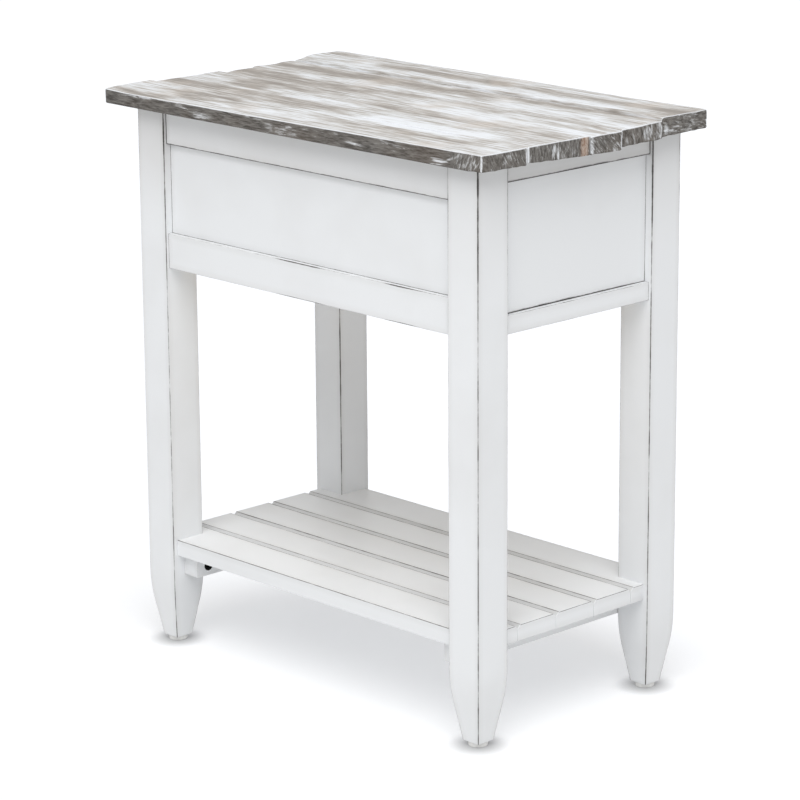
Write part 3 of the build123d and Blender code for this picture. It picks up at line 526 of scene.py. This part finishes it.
def make_pine(colours, axis):
    """Planed softwood left bare, with its grain along one axis.

    It gives the eye a pale honey colour with fine darker late-wood lines and a dull surface.
    """
    tree, shader = new_material("bare_pine_along_" + "xyz"[axis])
    place = add(tree, "ShaderNodeTexCoord").outputs["Object"]
    scale = [1.0, 1.0, 1.0]
    scale[axis] = 0.045
    long = add(tree, "ShaderNodeMapping", {"Vector": place, "Scale": scale})
    # Rings 5 mm apart with fibres 0.8 mm across.
    ring = add(tree, "ShaderNodeTexNoise", {"Vector": long, "Scale": 190.0, "Detail": 3.0, "Distortion": 0.4})
    fibre = add(tree, "ShaderNodeTexNoise", {"Vector": long, "Scale": 1250.0, "Detail": 2.0})
    late = add(tree, "ShaderNodeMapRange", {"Value": ring, "From Min": 0.48, "From Max": 0.66})
    mixed = add(tree, "ShaderNodeMath", {0: fibre, 1: late}, operation="MULTIPLY")
    wood = add(tree, "ShaderNodeMix", {0: mixed, 6: colours.pine, 7: colours.pine_late}, data_type="RGBA")
    bump = add(tree, "ShaderNodeBump", {"Height": fibre, "Strength": 0.4, "Distance": 0.1 * MM})
    feed(shader, {"Base Color": wood, "Roughness": 0.62, "Normal": bump})


def make_hardware(name, colour, metallic, roughness, grit):
    """A small moulded or plated part, with a fine unevenness of the given grit in its surface.

    Zinc-plated steel gives the eye a grey metal sheen, black oxide a dull dark one, and moulded
    polyethylene a smooth off-white.
    """
    tree, shader = new_material(name)
    place = add(tree, "ShaderNodeTexCoord").outputs["Object"]
    speck = add(tree, "ShaderNodeTexNoise", {"Vector": place, "Scale": 1 / grit, "Detail": 3.0})
    pale = [c * 1.06 for c in hex_colour(colour)[:3]] + [1.0]
    tone = add(tree, "ShaderNodeMix", {0: speck, 6: hex_colour(colour), 7: pale}, data_type="RGBA")
    shine = add(tree, "ShaderNodeMapRange", {
        "Value": speck, "To Min": roughness - 0.08, "To Max": roughness + 0.08})
    bump = add(tree, "ShaderNodeBump", {"Height": speck, "Strength": 0.3, "Distance": 0.05 * MM})
    feed(shader, {"Base Color": tone, "Metallic": metallic, "Roughness": shine, "Normal": bump})


class SIDETABLE_OT_finishes(bpy.types.Operator):
    """Make the table's paint, wash, bare wood, steel and plastic"""

    bl_idname = "side_table.finishes"
    bl_label = "Finishes"

    def execute(self, context):
        colours = context.scene.side_table_colours
        make_paint(colours)
        make_plank_wash(colours)
        for axis in range(3):
            make_pine(colours, axis)
        make_hardware("zinc_plated_steel", "B9BCC0", 1.0, 0.38, 0.6 * MM)
        make_hardware("black_oxide_steel", "151516", 1.0, 0.55, 0.6 * MM)
        make_hardware("moulded_polyethylene", "DADAD8", 0.0, 0.45, 1.2 * MM)
        return {"FINISHED"}


# ---- Legs ------------------------------------------------------------------------------
class SIDETABLE_OT_legs(bpy.types.Operator):
    """Make the four painted legs with their tapered feet"""

    bl_idname = "side_table.legs"
    bl_label = "Legs"

    def execute(self, context):
        sizes = context.scene.side_table_sizes
        for end in ENDS:
            for side in SIDES:
                self.make_leg(f"leg_{end}_{side}", sizes, *LEG_GLAZE_AND_SHADE[end, side])
        return {"FINISHED"}

    def make_leg(self, node, sizes, wear, painted_shade):
        low, high = corners(node)
        centre, width = (low + high) / 2, high.x - low.x
        knee, blend, ease = sizes.taper_height, sizes.taper_blend, sizes.leg_ease
        slope = (width - sizes.foot_width) / 2 / (knee - low.z)

        def inset(z):
            """How far the taper takes each face in at a height."""
            below = knee - z
            if below < -blend:
                return 0.0
            return slope * (below if below > blend else (below + blend) ** 2 / (4 * blend))

        def place(p):
            q = soften(p, low, high, ease)
            shrink = 1 - inset(q.z) / (width / 2)
            return Vector((centre.x + (q.x - centre.x) * shrink, centre.y + (q.y - centre.y) * shrink, q.z))

        def half(p):
            side = width / 2 - inset(p.z)
            return Vector((side, side, high.z - low.z))

        def upper(p):
            """How far up into the part with wider glaze lines and painted shade a point is, from 0 to 1."""
            return smooth((p.z - GLAZE_AND_SHADE_START) / GLAZE_AND_SHADE_RISE)

        lines = [spaced(*ends, ease) for ends in zip(low, high, LEG_STEPS)]
        # The bend at the knee has lines of its own.
        heights = sorted(lines[2] + [knee - blend + 2 * blend * i / 10 for i in range(11)])
        lines[2] = [z for i, z in enumerate(heights) if i == 0 or z - heights[i - 1] > 0.05 * MM]
        # Higher up, the glaze lines widen and painted shade darkens the leg under the top.
        marks = glaze_and_shade_marks(low, high, AXES[2], lambda p: wear * (1 + 0.7 * upper(p)),
                            lambda p: painted_shade * upper(p))
        marks["line_half"] = half
        finish_painted(node, lattice_mesh("painted_" + node, lines, place, marks))


# ---- Apron -----------------------------------------------------------------------------
def rubbed_ranges(ranges, base, extra):
    """Wear that rises by extra inside each (from, to) range of y, in millimetres."""
    def wear(p):
        y = p.y / MM
        return base + extra * max([smooth((y - a) / 10) * smooth((b - y) / 10) for a, b in ranges] + [0.0])
    return wear


def make_bar(node, axis, span, wear, painted_shade=0.0, rails=()):
    """Make a rail that shows between the legs along one axis, or a panel between two rails too.

    Its arrises are sanded, glaze lies along the edges of what shows of it, and painted shade may darken it
    all.
    """
    ease = bpy.context.scene.side_table_sizes.rail_ease
    low, high = corners(node)
    low[axis], high[axis] = span
    if rails:
        low.z, high.z = corners(rails[0])[1].z, corners(rails[1])[0].z
    marks = glaze_and_shade_marks(low, high, AXES[axis], wear, lambda p: painted_shade)
    hidden = JOINT_OVERLAP * (AXES[axis] + AXES[2] if rails else AXES[axis])
    low, high = low - hidden, high + hidden
    lines = [spaced(a, b, max(BAR_STEP, (b - a) / 40), ease) for a, b in zip(low, high)]
    finish_painted(node, lattice_mesh(
        "painted_" + node, lines, lambda p: soften(p, low, high, ease), marks))


class SIDETABLE_OT_apron(bpy.types.Operator):
    """Make the painted rails and panels between the legs"""

    bl_idname = "side_table.apron"
    bl_label = "Rails and panels"

    def execute(self, context):
        leg = corners("leg_back_right")[0]
        span_x, span_y = (-leg.x, leg.x), (corners("leg_front_right")[1].y, leg.y)
        foot = corners("back_lower_rail")[1].z + 5 * MM     # below it the panels' glaze lines are wide
        for side in SIDES:
            rails = f"side_lower_rail_{side}", f"side_top_rail_{side}"
            # The top rails get painted shade under the top's overhang.
            make_bar(rails[1], 1, span_y, lambda p: 1.7, 0.29)
            make_bar(rails[0], 1, span_y, rubbed_ranges(((-45, 42), (138, 195)), 0.5, 0.75))
            make_bar(f"side_panel_{side}", 1, span_y, lambda p: 1.35 if p.z < foot else 0.75, rails=rails)
        rails = "back_lower_rail", "back_top_rail"
        # Painted shade darkens the back top rail under the top's overhang.
        make_bar(rails[1], 0, span_x, lambda p: 2.3, 0.53)
        make_bar(rails[0], 0, span_x, lambda p: 0.6)
        make_bar("back_panel", 0, span_x, lambda p: 2.4 + 0.6 * p.x / leg.x if p.z < foot else 0.8,
                 rails=rails)
        make_bar("front_top_rail", 0, span_x, lambda p: 1.8, 0.37)
        make_bar("front_lower_rail", 0, span_x, lambda p: 0.8)
        return {"FINISHED"}


# ---- Top -------------------------------------------------------------------------------
class SIDETABLE_OT_top(bpy.types.Operator):
    """Make the five weathered planks of the top"""

    bl_idname = "side_table.top"
    bl_label = "Top planks"

    def execute(self, context):
        sizes = context.scene.side_table_sizes
        for number in range(1, 6):
            self.make_plank(number, sizes)
        return {"FINISHED"}

    def make_plank(self, number, sizes):
        node = f"top_plank_{number}"
        low, high = corners(node)
        leg_front, leg_back = corners("leg_front_right")[0].y, corners("leg_back_right")[1].y
        size, inner_ease = high - low, 0.5 * MM
        angle = math.radians(BRUSH_ANGLES[number - 1])
        drops, rises = UNDERSIDE_DROPS[number - 1], TOP_DROPS[number - 1]

        def from_end(p):
            return min(p.y - low.y, high.y - p.y)

        def from_side(p):
            """Distance from the top's long edge, which only the first and the last plank have."""
            return high.x - p.x if number == 1 else p.x - low.x if number == 5 else math.inf

        def place(p):
            ease = sizes.plank_ease * (1 + 0.5 * waver(p.x * 14, p.y * 11, number))
            # The joints between planks stay tight: only the outer arrises and the ends are worn.
            tight = (number > 1 and p.x > high.x - 2 * ease or number < 5 and p.x < low.x + 2 * ease) and (
                from_end(p) > 2 * ease)
            q = soften(p, low, high, inner_ease if tight else ease)
            across, up = (p.x - low.x) / size.x, (p.z - low.z) / size.z
            x, y = p.x / MM, p.y / MM
            # Long waves and short ones in the face, and the sag of the long arris.
            q.z += up * sizes.plank_wave * waver(x / 40, y / 240, number * 3.1)
            q.z += up * 0.4 * MM * waver(x / 14, y / 90, number * 5.3)
            if number == 1:
                q.z -= up * MM * between(ARRIS_SAG, y) * smooth((x - 128) / 40)
            # Past the frame the underside wanders, and at the back the face drops or rises.
            past_back = smooth((p.y - leg_back - 1.5 * MM) / (8 * MM))
            past_front = smooth((leg_front - 1.5 * MM - p.y) / (8 * MM))
            drop = drops[0] + (drops[1] - drops[0]) * across + 0.7 * waver(x / 9, 0.3, number)
            q.z += (1 - up) * past_back * MM * drop
            q.z += (1 - up) * past_front * 0.8 * MM * waver(x / 22, 0.7, number)
            rise = rises[0] * (1 - across) + rises[1] * across
            q.z += up * MM * rise * smooth((p.y - high.y + 70 * MM) / (60 * MM))
            if number == 5:     # its inner corner at the front is worn down
                corner = math.hypot((high.x - p.x) / (24 * MM), (p.y - low.y) / (30 * MM))
                q.z -= up * 3.4 * MM * smooth(1.1 - corner)
            # The ends are cut unevenly, most of all at the front.
            back = smooth((p.y - high.y + 6 * MM) / (6 * MM))
            front = smooth((low.y + 14 * MM - p.y) / (14 * MM))
            q.y += back * 0.6 * MM * waver(x / 15, p.z / MM / 7, number * 2.2)
            q.y += front * sizes.end_wave * waver(x / 26, p.z / MM / 30, number * 4.4)
            q.z += front * 0.8 * MM * waver(x / 24, 0.2, number * 6.1)
            return q

        def wash(p):
            """How thick the wash lies: about 0.6, less in bare bands and more in washed ones."""
            x, y = p.x / MM, p.y / MM
            if number == 5 and high.x - p.x < 0.3 * MM:
                return 0.72 + 0.15 * waver(1.1, y / 40, 5.1)
            drift = 3.0 * waver(x / 60, y / 90, 8.8) + 1.2 * waver(x / 20, y / 30, 2.7)
            value = 0.6 + 0.1 * waver(x / 22, y / 200, 5.1)
            for bands, sign in ((BARE_BANDS, -0.66), (WASH_BANDS, 0.42)):
                for first, second, start, stop, half, strength in bands:
                    if not start - 1 < y < stop + 1:
                        continue
                    centre = first + (second - first) * (y - start) / (stop - start)
                    reach = max(0.0, 1 - ((x + drift - centre) / (half * 1.45)) ** 2)
                    fade = smooth((y - start) / 35) * smooth((stop - y) / 35)
                    value += sign * strength * fade * reach
            return value

        def edge(p):
            """0 on the face, 0.5 at the arris and 1 down the outer sides and the ends."""
            nearest = min(from_end(p), from_side(p))
            if min(p.x - low.x, high.x - p.x) < 0.5 * inner_ease and nearest > 3 * MM:
                return 0.0
            return min(max(0.5 + (high.z - p.z - nearest) / (2.2 * sizes.plank_ease), 0.0), 1.0)

        def on_end(p):
            return from_end(p) <= 0.8 * sizes.plank_ease

        def patch(p):
            """How much wash the nearest brush mark leaves on an end or a long edge."""
            table, spot = (END_MARKS, p.x / MM) if on_end(p) else (EDGE_MARKS, p.y / MM)
            height = (p.z - low.z) / MM
            value, share = (0.45 * (1 - brown(p)), 1.0) if on_end(p) else (0.0, 0.85)
            for centre, level, half, tall, strength, rise in table:
                u, v = (spot - centre) / half, (height - level - rise * (spot - centre)) / tall
                value = max(value, share * strength * smooth(1.55 - math.hypot(u, v)))
            return value

        def brown(p):
            if not on_end(p) or p.y < 0:
                return 0.0
            return 0.8 * smooth(1.4 - abs(p.x / MM - BROWN_PATCH[0]) / BROWN_PATCH[1])

        def grain(p):
            if on_end(p):
                return Vector((math.cos(angle), 0, math.sin(angle)))
            on_edge = from_side(p) < 1 * MM
            if on_edge and number == 1 and p.y > EDGE_TURN:
                return Vector((0, 0.4, 0.92))
            # A longer vector draws the streaks on the long edges out further.
            return Vector((0, 1.1 if on_edge else 1.0, 0))

        lines = [spaced(*ends, sizes.plank_ease) for ends in zip(low, high, PLANK_STEPS)]
        marks = {"wash": wash, "edge": edge, "patch": patch, "brown": brown, "grain": grain}
        mesh = lattice_mesh("washed_" + node, lines, place, marks)
        finish_piece("washed_" + node, mesh, "whitewashed_weathered_pine", [node])


# ---- Shelf -----------------------------------------------------------------------------
def board_tree():
    """Geometry Nodes for one shelf board: a profile with bevelled top corners, drawn out and notched."""
    tree = bpy.data.node_groups.new("shelf_board", "GeometryNodeTree")
    face = tree.interface
    face.new_socket("Geometry", in_out="OUTPUT", socket_type="NodeSocketGeometry")
    for label in ("Width", "Thickness", "Length", "Left bevel", "Right bevel", "Notch"):
        face.new_socket(label, in_out="INPUT", socket_type="NodeSocketFloat")
    for label in ("Centre", "Front notch", "Back notch"):
        face.new_socket(label, in_out="INPUT", socket_type="NodeSocketVector")
    face.new_socket("Finish", in_out="INPUT", socket_type="NodeSocketMaterial")
    given = add(tree, "NodeGroupInput").outputs
    outline = add(tree, "GeometryNodeCurvePrimitiveQuadrilateral",
                  {"Width": given["Width"], "Height": given["Thickness"]}, mode="RECTANGLE")
    corner = add(tree, "ShaderNodeSeparateXYZ", {0: add(tree, "GeometryNodeInputPosition")}).outputs
    right = add(tree, "ShaderNodeMath", {0: corner[0], 1: 0.0}, operation="GREATER_THAN")
    upper = add(tree, "ShaderNodeMath", {0: corner[1], 1: 0.0}, operation="GREATER_THAN")
    bevel = add(tree, "ShaderNodeMix", {0: right, 2: given["Left bevel"], 3: given["Right bevel"]},
                data_type="FLOAT")
    radius = add(tree, "ShaderNodeMath", {0: bevel, 1: upper}, operation="MULTIPLY")
    profile = add(tree, "GeometryNodeFilletCurve", {
        "Curve": outline, "Count": 1, "Radius": radius}, mode="POLY")
    end = add(tree, "ShaderNodeCombineXYZ", {2: given["Length"]})
    path = add(tree, "GeometryNodeCurvePrimitiveLine", {"End": end}, mode="POINTS")
    board = add(tree, "GeometryNodeCurveToMesh", {"Curve": path, "Profile Curve": profile, "Fill Caps": True})
    start = add(tree, "ShaderNodeMath", {0: given["Length"], 1: -0.5}, operation="MULTIPLY")
    middle = add(tree, "ShaderNodeCombineXYZ", {2: start})
    centred = add(tree, "GeometryNodeTransform", {"Geometry": board, "Translation": middle})
    laid = add(tree, "GeometryNodeTransform", {"Geometry": centred, "Rotation": (math.radians(90), 0, 0)})
    placed = add(tree, "GeometryNodeTransform", {"Geometry": laid, "Translation": given["Centre"]})
    notched = add(tree, "GeometryNodeMeshBoolean", {"Mesh 1": placed}, operation="DIFFERENCE", solver="EXACT")
    size = add(tree, "ShaderNodeCombineXYZ", {0: given["Notch"], 1: given["Notch"], 2: given["Notch"]})
    cube = add(tree, "GeometryNodeMeshCube", {"Size": size})
    for label in ("Front notch", "Back notch"):
        cutter = add(tree, "GeometryNodeTransform", {"Geometry": cube, "Translation": given[label]})
        feed(notched, {"Mesh 2": cutter})
    whole = add(tree, "GeometryNodeSwitch", {
        "Switch": given["Notch"], "False": placed, "True": notched}, input_type="GEOMETRY")
    real = add(tree, "GeometryNodeRealizeInstances", {0: whole})
    painted = add(tree, "GeometryNodeSetMaterial", {"Geometry": real, "Material": given["Finish"]})
    add(tree, "NodeGroupOutput", {0: painted})
    return tree


def grown_mesh(tree, name, values, ease):
    """Run a tree with the given inputs, ease the arrises and return the result as a plain mesh."""
    maker = bpy.data.objects.new(name, bpy.data.meshes.new(name))
    bpy.context.scene.collection.objects.link(maker)
    nodes = maker.modifiers.new("Nodes", "NODES")
    nodes.node_group = tree
    identifiers = {s.name: s.identifier for s in tree.interface.items_tree if s.in_out == "INPUT"}
    for label, value in values.items():
        nodes[identifiers[label]] = value
    eased = maker.modifiers.new("Ease", "BEVEL")
    eased.width, eased.segments, eased.limit_method = ease, 2, "ANGLE"
    eased.angle_limit = math.radians(30)
    ready = maker.evaluated_get(bpy.context.evaluated_depsgraph_get())
    mesh = bpy.data.meshes.new_from_object(ready)
    mesh.name = name
    maker.modifiers.clear()
    bpy.data.objects.remove(maker)
    return mesh


class SIDETABLE_OT_shelf(bpy.types.Operator):
    """Make the painted shelf boards with their V grooves, and the cleats under them"""

    bl_idname = "side_table.shelf"
    bl_label = "Shelf"

    def execute(self, context):
        groove = context.scene.side_table_sizes.groove
        tree = board_tree()
        for number in range(1, 6):
            self.make_board(number, tree, groove)
        for end in ENDS:
            self.make_cleat(f"shelf_cleat_{end}")
        return {"FINISHED"}

    def make_board(self, number, tree, groove):
        node = f"shelf_board_{number}"
        low, high = corners(node)
        size, centre = high - low, (low + high) / 2
        left, right = groove if number < 5 else 0.0, groove if number > 1 else 0.0
        outer = 1 if number == 1 else -1 if number == 5 else 0
        # The outer boards are notched round the legs, by cubes larger than a leg.
        notch = 0.2 if outer else 0.0
        front, back = corners("leg_front_right"), corners("leg_back_right")
        mesh = grown_mesh(tree, "painted_" + node, {
            "Width": size.x, "Thickness": size.z, "Length": size.y, "Left bevel": left,
            "Right bevel": right, "Notch": notch, "Centre": centre,
            "Finish": bpy.data.materials["glazed_white_paint"],
            "Front notch": (outer * (front[0].x + notch / 2), front[1].y - notch / 2, centre.z),
            "Back notch": (outer * (back[0].x + notch / 2), back[0].y + notch / 2, centre.z),
        }, BOARD_EASE)
        base, least = BOARD_WEAR[number - 1], 1.2 if number == 1 else 0.6

        def wear(p):
            """The glaze lines widen from each board's right edge to its left one."""
            return base * (least + (2.2 - least) * (high.x - p.x) / size.x)

        def painted_shade(p):
            """Where the lines are widest, by the left groove, the face gets painted shade too."""
            return PAINTED_SHADE_MOST * min(max((wear(p) - PAINTED_SHADE_START) / PAINTED_SHADE_SPAN, 0.0), 1.0)

        def from_end(p):
            return min(p.y - low.y, high.y - p.y)

        def in_groove(p):
            return 0.2 * groove < high.z - p.z < 0.95 * groove and from_end(p) > 1 * MM and (
                low.x + 0.05 * MM < p.x < low.x + left or high.x - right < p.x < high.x - 0.05 * MM)

        # Painted shade on the grooves' bevels.
        paint_crease_shade(mesh, lambda p: GROOVE_SHADE * in_groove(p))
        # The top's line box runs on past the ends, and the ends' own box past the sides, so that
        # no glaze is drawn down the bevels.
        faces = glaze_and_shade_marks(low + Vector((left, -1, -1)), high - Vector((right, -1, 0)), AXES[1], wear, painted_shade)
        ends = glaze_and_shade_marks(low - AXES[0], high + AXES[0] - Vector((0, 0, BOARD_EASE)), AXES[1],
                           lambda p: 0.75)
        mark(mesh, {label: lambda p, label=label: (ends if from_end(p) < 0.01 * MM else faces)[label](p)
                    for label in faces})
        finish_painted(node, mesh)

    def make_cleat(self, node):
        low, high = corners(node)
        mesh = eased_copy("painted_" + node, node, CLEAT_EASE)
        mark(mesh, glaze_and_shade_marks(low, high, AXES[0], lambda p: 0.1))
        bolt_low, bolt_high = corners("cleat_bolts")
        radius = (bolt_high.z - bolt_low.z) / 2
        # Painted shade darkens the bolts' recesses.
        paint_crease_shade(mesh, lambda p: math.hypot(
            abs(p.x) - bolt_high.x + radius, p.z - bolt_low.z - radius) < radius + RECESS_WALL)
        finish_painted(node, mesh)


# ---- Drawer, inner wood and fasteners --------------------------------------------------
def dress_nodes(names, material):
    """Give CAD nodes whose shape is right a finish."""
    for name in names:
        mesh = bpy.data.objects[name].data
        if not mesh.materials:
            mesh.materials.append(bpy.data.materials[material])
        for number in range(len(mesh.materials)):
            mesh.materials[number] = bpy.data.materials[material]


class SIDETABLE_OT_drawer(bpy.types.Operator):
    """Finish the drawer: painted front and knob, bare box"""

    bl_idname = "side_table.drawer"
    bl_label = "Drawer"

    def execute(self, context):
        low, high = corners("drawer_front")
        mesh = eased_copy("painted_drawer_front", "drawer_front", FRONT_EASE)
        mark(mesh, glaze_and_shade_marks(low, high, AXES[0], lambda p: 1.0))
        for material in ("glazed_white_paint", "bare_pine_along_x"):
            mesh.materials.append(bpy.data.materials[material])
        # The back of the front and its joints are bare.
        for face in mesh.polygons:
            inside = face.center.y > low.y + 1.5 * MM and (
                face.normal.y > 0.5 or low.x + 1 * MM < face.center.x < high.x - 1 * MM
                and low.z + 1 * MM < face.center.z < high.z - 1 * MM)
            face.material_index = 1 if inside else 0
        finish_painted("drawer_front", mesh, "drawer")
        dress_nodes(["drawer_knob"], "glazed_white_paint")
        dress_nodes(["drawer_side_right", "drawer_side_left", "drawer_bottom"], "bare_pine_along_y")
        dress_nodes(["drawer_back"], "bare_pine_along_x")
        return {"FINISHED"}


class SIDETABLE_OT_inner_wood(bpy.types.Operator):
    """Finish the battens, runners, guides, kickers and stops"""

    bl_idname = "side_table.inner_wood"
    bl_label = "Inner wood"

    def execute(self, context):
        for kind in ("runner", "kicker", "guide", "stop"):
            dress_nodes([f"drawer_{kind}_{side}" for side in SIDES], "bare_pine_along_y")
        dress_nodes(["top_batten_front", "top_batten_middle", "top_batten_back", "pullout_stop"],
                    "bare_pine_along_x")
        return {"FINISHED"}


class SIDETABLE_OT_fasteners(bpy.types.Operator):
    """Finish the screws, bolts and foot glides"""

    bl_idname = "side_table.fasteners"
    bl_label = "Fasteners and glides"

    def execute(self, context):
        dress_nodes(["top_screws", "kicker_screws", "shelf_screws", "drawer_bottom_screws",
                     "drawer_knob_screw", "pullout_stop_screw"], "zinc_plated_steel")
        dress_nodes(["cleat_bolts"], "black_oxide_steel")
        dress_nodes(["foot_glides"], "moulded_polyethylene")
        return {"FINISHED"}


# ---- Studio ----------------------------------------------------------------------------
def seen_directly(tree):
    """1 for rays from the camera and for those that metal or glass passes on, else 0."""
    rays = add(tree, "ShaderNodeLightPath").outputs
    glossy = add(tree, "ShaderNodeMath", {0: rays["Is Camera Ray"], 1: rays["Is Glossy Ray"]},
                 operation="MAXIMUM")
    return add(tree, "ShaderNodeMath", {0: glossy, 1: rays["Is Transmission Ray"]}, operation="MAXIMUM")


class SIDETABLE_OT_studio(bpy.types.Operator):
    """Make the pale floor, the soft light and the camera"""

    bl_idname = "side_table.studio"
    bl_label = "Studio"

    def execute(self, context):
        light = context.scene.side_table_studio
        self.make_floor(context, light)
        self.make_light(context, light)
        self.make_camera(context)
        context.scene.view_settings.view_transform = "Standard"
        return {"FINISHED"}

    def make_floor(self, context, light):
        """A wide floor that is white to the eye but keeps part of the table's shadow, with a painted contact
        shadow round each glide.
        """
        tree, shader = new_material("pale_studio_floor")
        tree.nodes.remove(shader)
        # Away from the table the floor is plain white; near it, it keeps the shadow.
        place = add(tree, "ShaderNodeTexCoord").outputs["Object"]
        offset = add(tree, "ShaderNodeVectorMath", {0: place, 1: SHADE_CENTRE}, operation="SUBTRACT")
        oval = add(tree, "ShaderNodeVectorMath", {0: offset, 1: SHADE_STRETCH}, operation="MULTIPLY")
        away = add(tree, "ShaderNodeVectorMath", {0: oval}, operation="LENGTH")
        soft = add(tree, "ShaderNodeMapRange", {
            "Value": away, "From Min": SHADE_REACH[0], "From Max": SHADE_REACH[1],
            "To Min": light.shadow, "To Max": 0.0}, interpolation_type="SMOOTHSTEP")
        # Close round each glide a painted contact shadow darkens it.
        feet = [(low + high) / 2 for low, high in (corners("leg_front_left"), corners("leg_back_right"))]
        centre = (feet[0] + feet[1]) / 2
        glide = feet[1] - centre
        centre.z = glide.z = 0
        moved = add(tree, "ShaderNodeVectorMath", {0: place, 1: centre}, operation="SUBTRACT")
        folded = add(tree, "ShaderNodeVectorMath", {0: moved}, operation="ABSOLUTE")
        apart = add(tree, "ShaderNodeVectorMath", {0: folded, 1: glide}, operation="DISTANCE")
        spot = add(tree, "ShaderNodeMapRange", {
            "Value": apart, "From Min": CONTACT_SHADOW_REACH[0], "From Max": CONTACT_SHADOW_REACH[1],
            "To Min": CONTACT_SHADOW_DEPTH, "To Max": 1.0}, interpolation_type="SMOOTHSTEP")
        near = add(tree, "ShaderNodeMath", {0: soft, 1: spot}, operation="MULTIPLY")
        shaded = add(tree, "ShaderNodeBsdfDiffuse", {"Color": near})
        opened = add(tree, "ShaderNodeMath", {0: soft, 1: -light.floor_light, 2: FLOOR_GLOW},
                     operation="MULTIPLY_ADD")
        glow = add(tree, "ShaderNodeMath", {0: spot, 1: opened}, operation="MULTIPLY")
        lift = add(tree, "ShaderNodeEmission", {"Color": FLOOR_TINT, "Strength": glow})
        seen = add(tree, "ShaderNodeAddShader", {0: shaded, 1: lift})
        plain = add(tree, "ShaderNodeBsdfDiffuse", {"Color": FLOOR_BOUNCE})
        mixed = add(tree, "ShaderNodeMixShader", {0: seen_directly(tree), 1: plain, 2: seen})
        feed(tree.nodes["Material Output"], {"Surface": mixed})
        mesh = bpy.data.meshes.new("studio_floor")
        mesh.from_pydata([(x * FLOOR_HALF, y * FLOOR_HALF, 0)
                          for x, y in ((-1, -1), (1, -1), (1, 1), (-1, 1))], [], [(0, 1, 2, 3)])
        mesh.materials.append(bpy.data.materials["pale_studio_floor"])
        floor = bpy.data.objects.new("studio_floor", mesh)
        context.scene.collection.objects.link(floor)

    def make_light(self, context, light):
        """An even dome, and a large round softbox above the near corner."""
        world = bpy.data.worlds.new("studio_dome")
        world.use_nodes = True
        context.scene.world = world
        tree = world.node_tree
        strength = add(tree, "ShaderNodeMapRange", {
            "Value": seen_directly(tree), "To Min": light.dome, "To Max": 1.0})
        feed(tree.nodes["Background"], {"Color": (1, 1, 1, 1), "Strength": strength})
        lamp = bpy.data.lights.new("softbox", "AREA")
        lamp.shape, lamp.size, lamp.energy = "DISK", light.softbox_size, light.softbox
        softbox = bpy.data.objects.new("softbox", lamp)
        softbox.location = SOFTBOX_AIM + SOFTBOX_TOWARDS * light.softbox_reach
        softbox.rotation_euler = SOFTBOX_TOWARDS.to_track_quat("Z", "Y").to_euler()
        context.scene.collection.objects.link(softbox)

    def make_camera(self, context):
        camera = bpy.data.cameras.new("camera")
        camera.lens, camera.sensor_width, camera.clip_end = CAMERA_LENS, CAMERA_SENSOR, 100.0
        view = bpy.data.objects.new("camera", camera)
        view.location = CAMERA_PLACE
        view.rotation_euler = [math.radians(angle) for angle in CAMERA_TURN]
        context.scene.collection.objects.link(view)
        context.scene.camera = view


# ---- Add-on ----------------------------------------------------------------------------
OPERATORS = (
    SIDETABLE_OT_finishes, SIDETABLE_OT_legs, SIDETABLE_OT_apron, SIDETABLE_OT_top, SIDETABLE_OT_shelf,
    SIDETABLE_OT_drawer, SIDETABLE_OT_inner_wood, SIDETABLE_OT_fasteners, SIDETABLE_OT_studio,
)


class SIDETABLE_PT_parts(bpy.types.Panel):
    """Lists the table's settings and parts"""

    bl_idname = "SIDETABLE_PT_parts"
    bl_label = "Side Table"
    bl_space_type = "VIEW_3D"
    bl_region_type = "UI"
    bl_category = "Side Table"

    def draw(self, context):
        scene = context.scene
        for group in (scene.side_table_sizes, scene.side_table_colours, scene.side_table_studio):
            box = self.layout.box()
            for setting in group.__annotations__:
                box.prop(group, setting)
        for operator in OPERATORS:
            self.layout.operator(operator.bl_idname)


SETTINGS = {
    "side_table_sizes": SideTableSizes,
    "side_table_colours": SideTableColours,
    "side_table_studio": SideTableStudio,
}


def register():
    for name, group in SETTINGS.items():
        bpy.utils.register_class(group)
        setattr(bpy.types.Scene, name, PointerProperty(type=group))
    for operator in OPERATORS:
        bpy.utils.register_class(operator)
    bpy.utils.register_class(SIDETABLE_PT_parts)


def unregister():
    bpy.utils.unregister_class(SIDETABLE_PT_parts)
    for operator in reversed(OPERATORS):
        bpy.utils.unregister_class(operator)
    for name, group in reversed(SETTINGS.items()):
        delattr(bpy.types.Scene, name)
        bpy.utils.unregister_class(group)


def main():
    """Make every part of the table in order."""
    register()
    for operator in OPERATORS:
        group, name = operator.bl_idname.split(".")
        getattr(getattr(bpy.ops, group), name)()


if __name__ == "__main__":
    main()
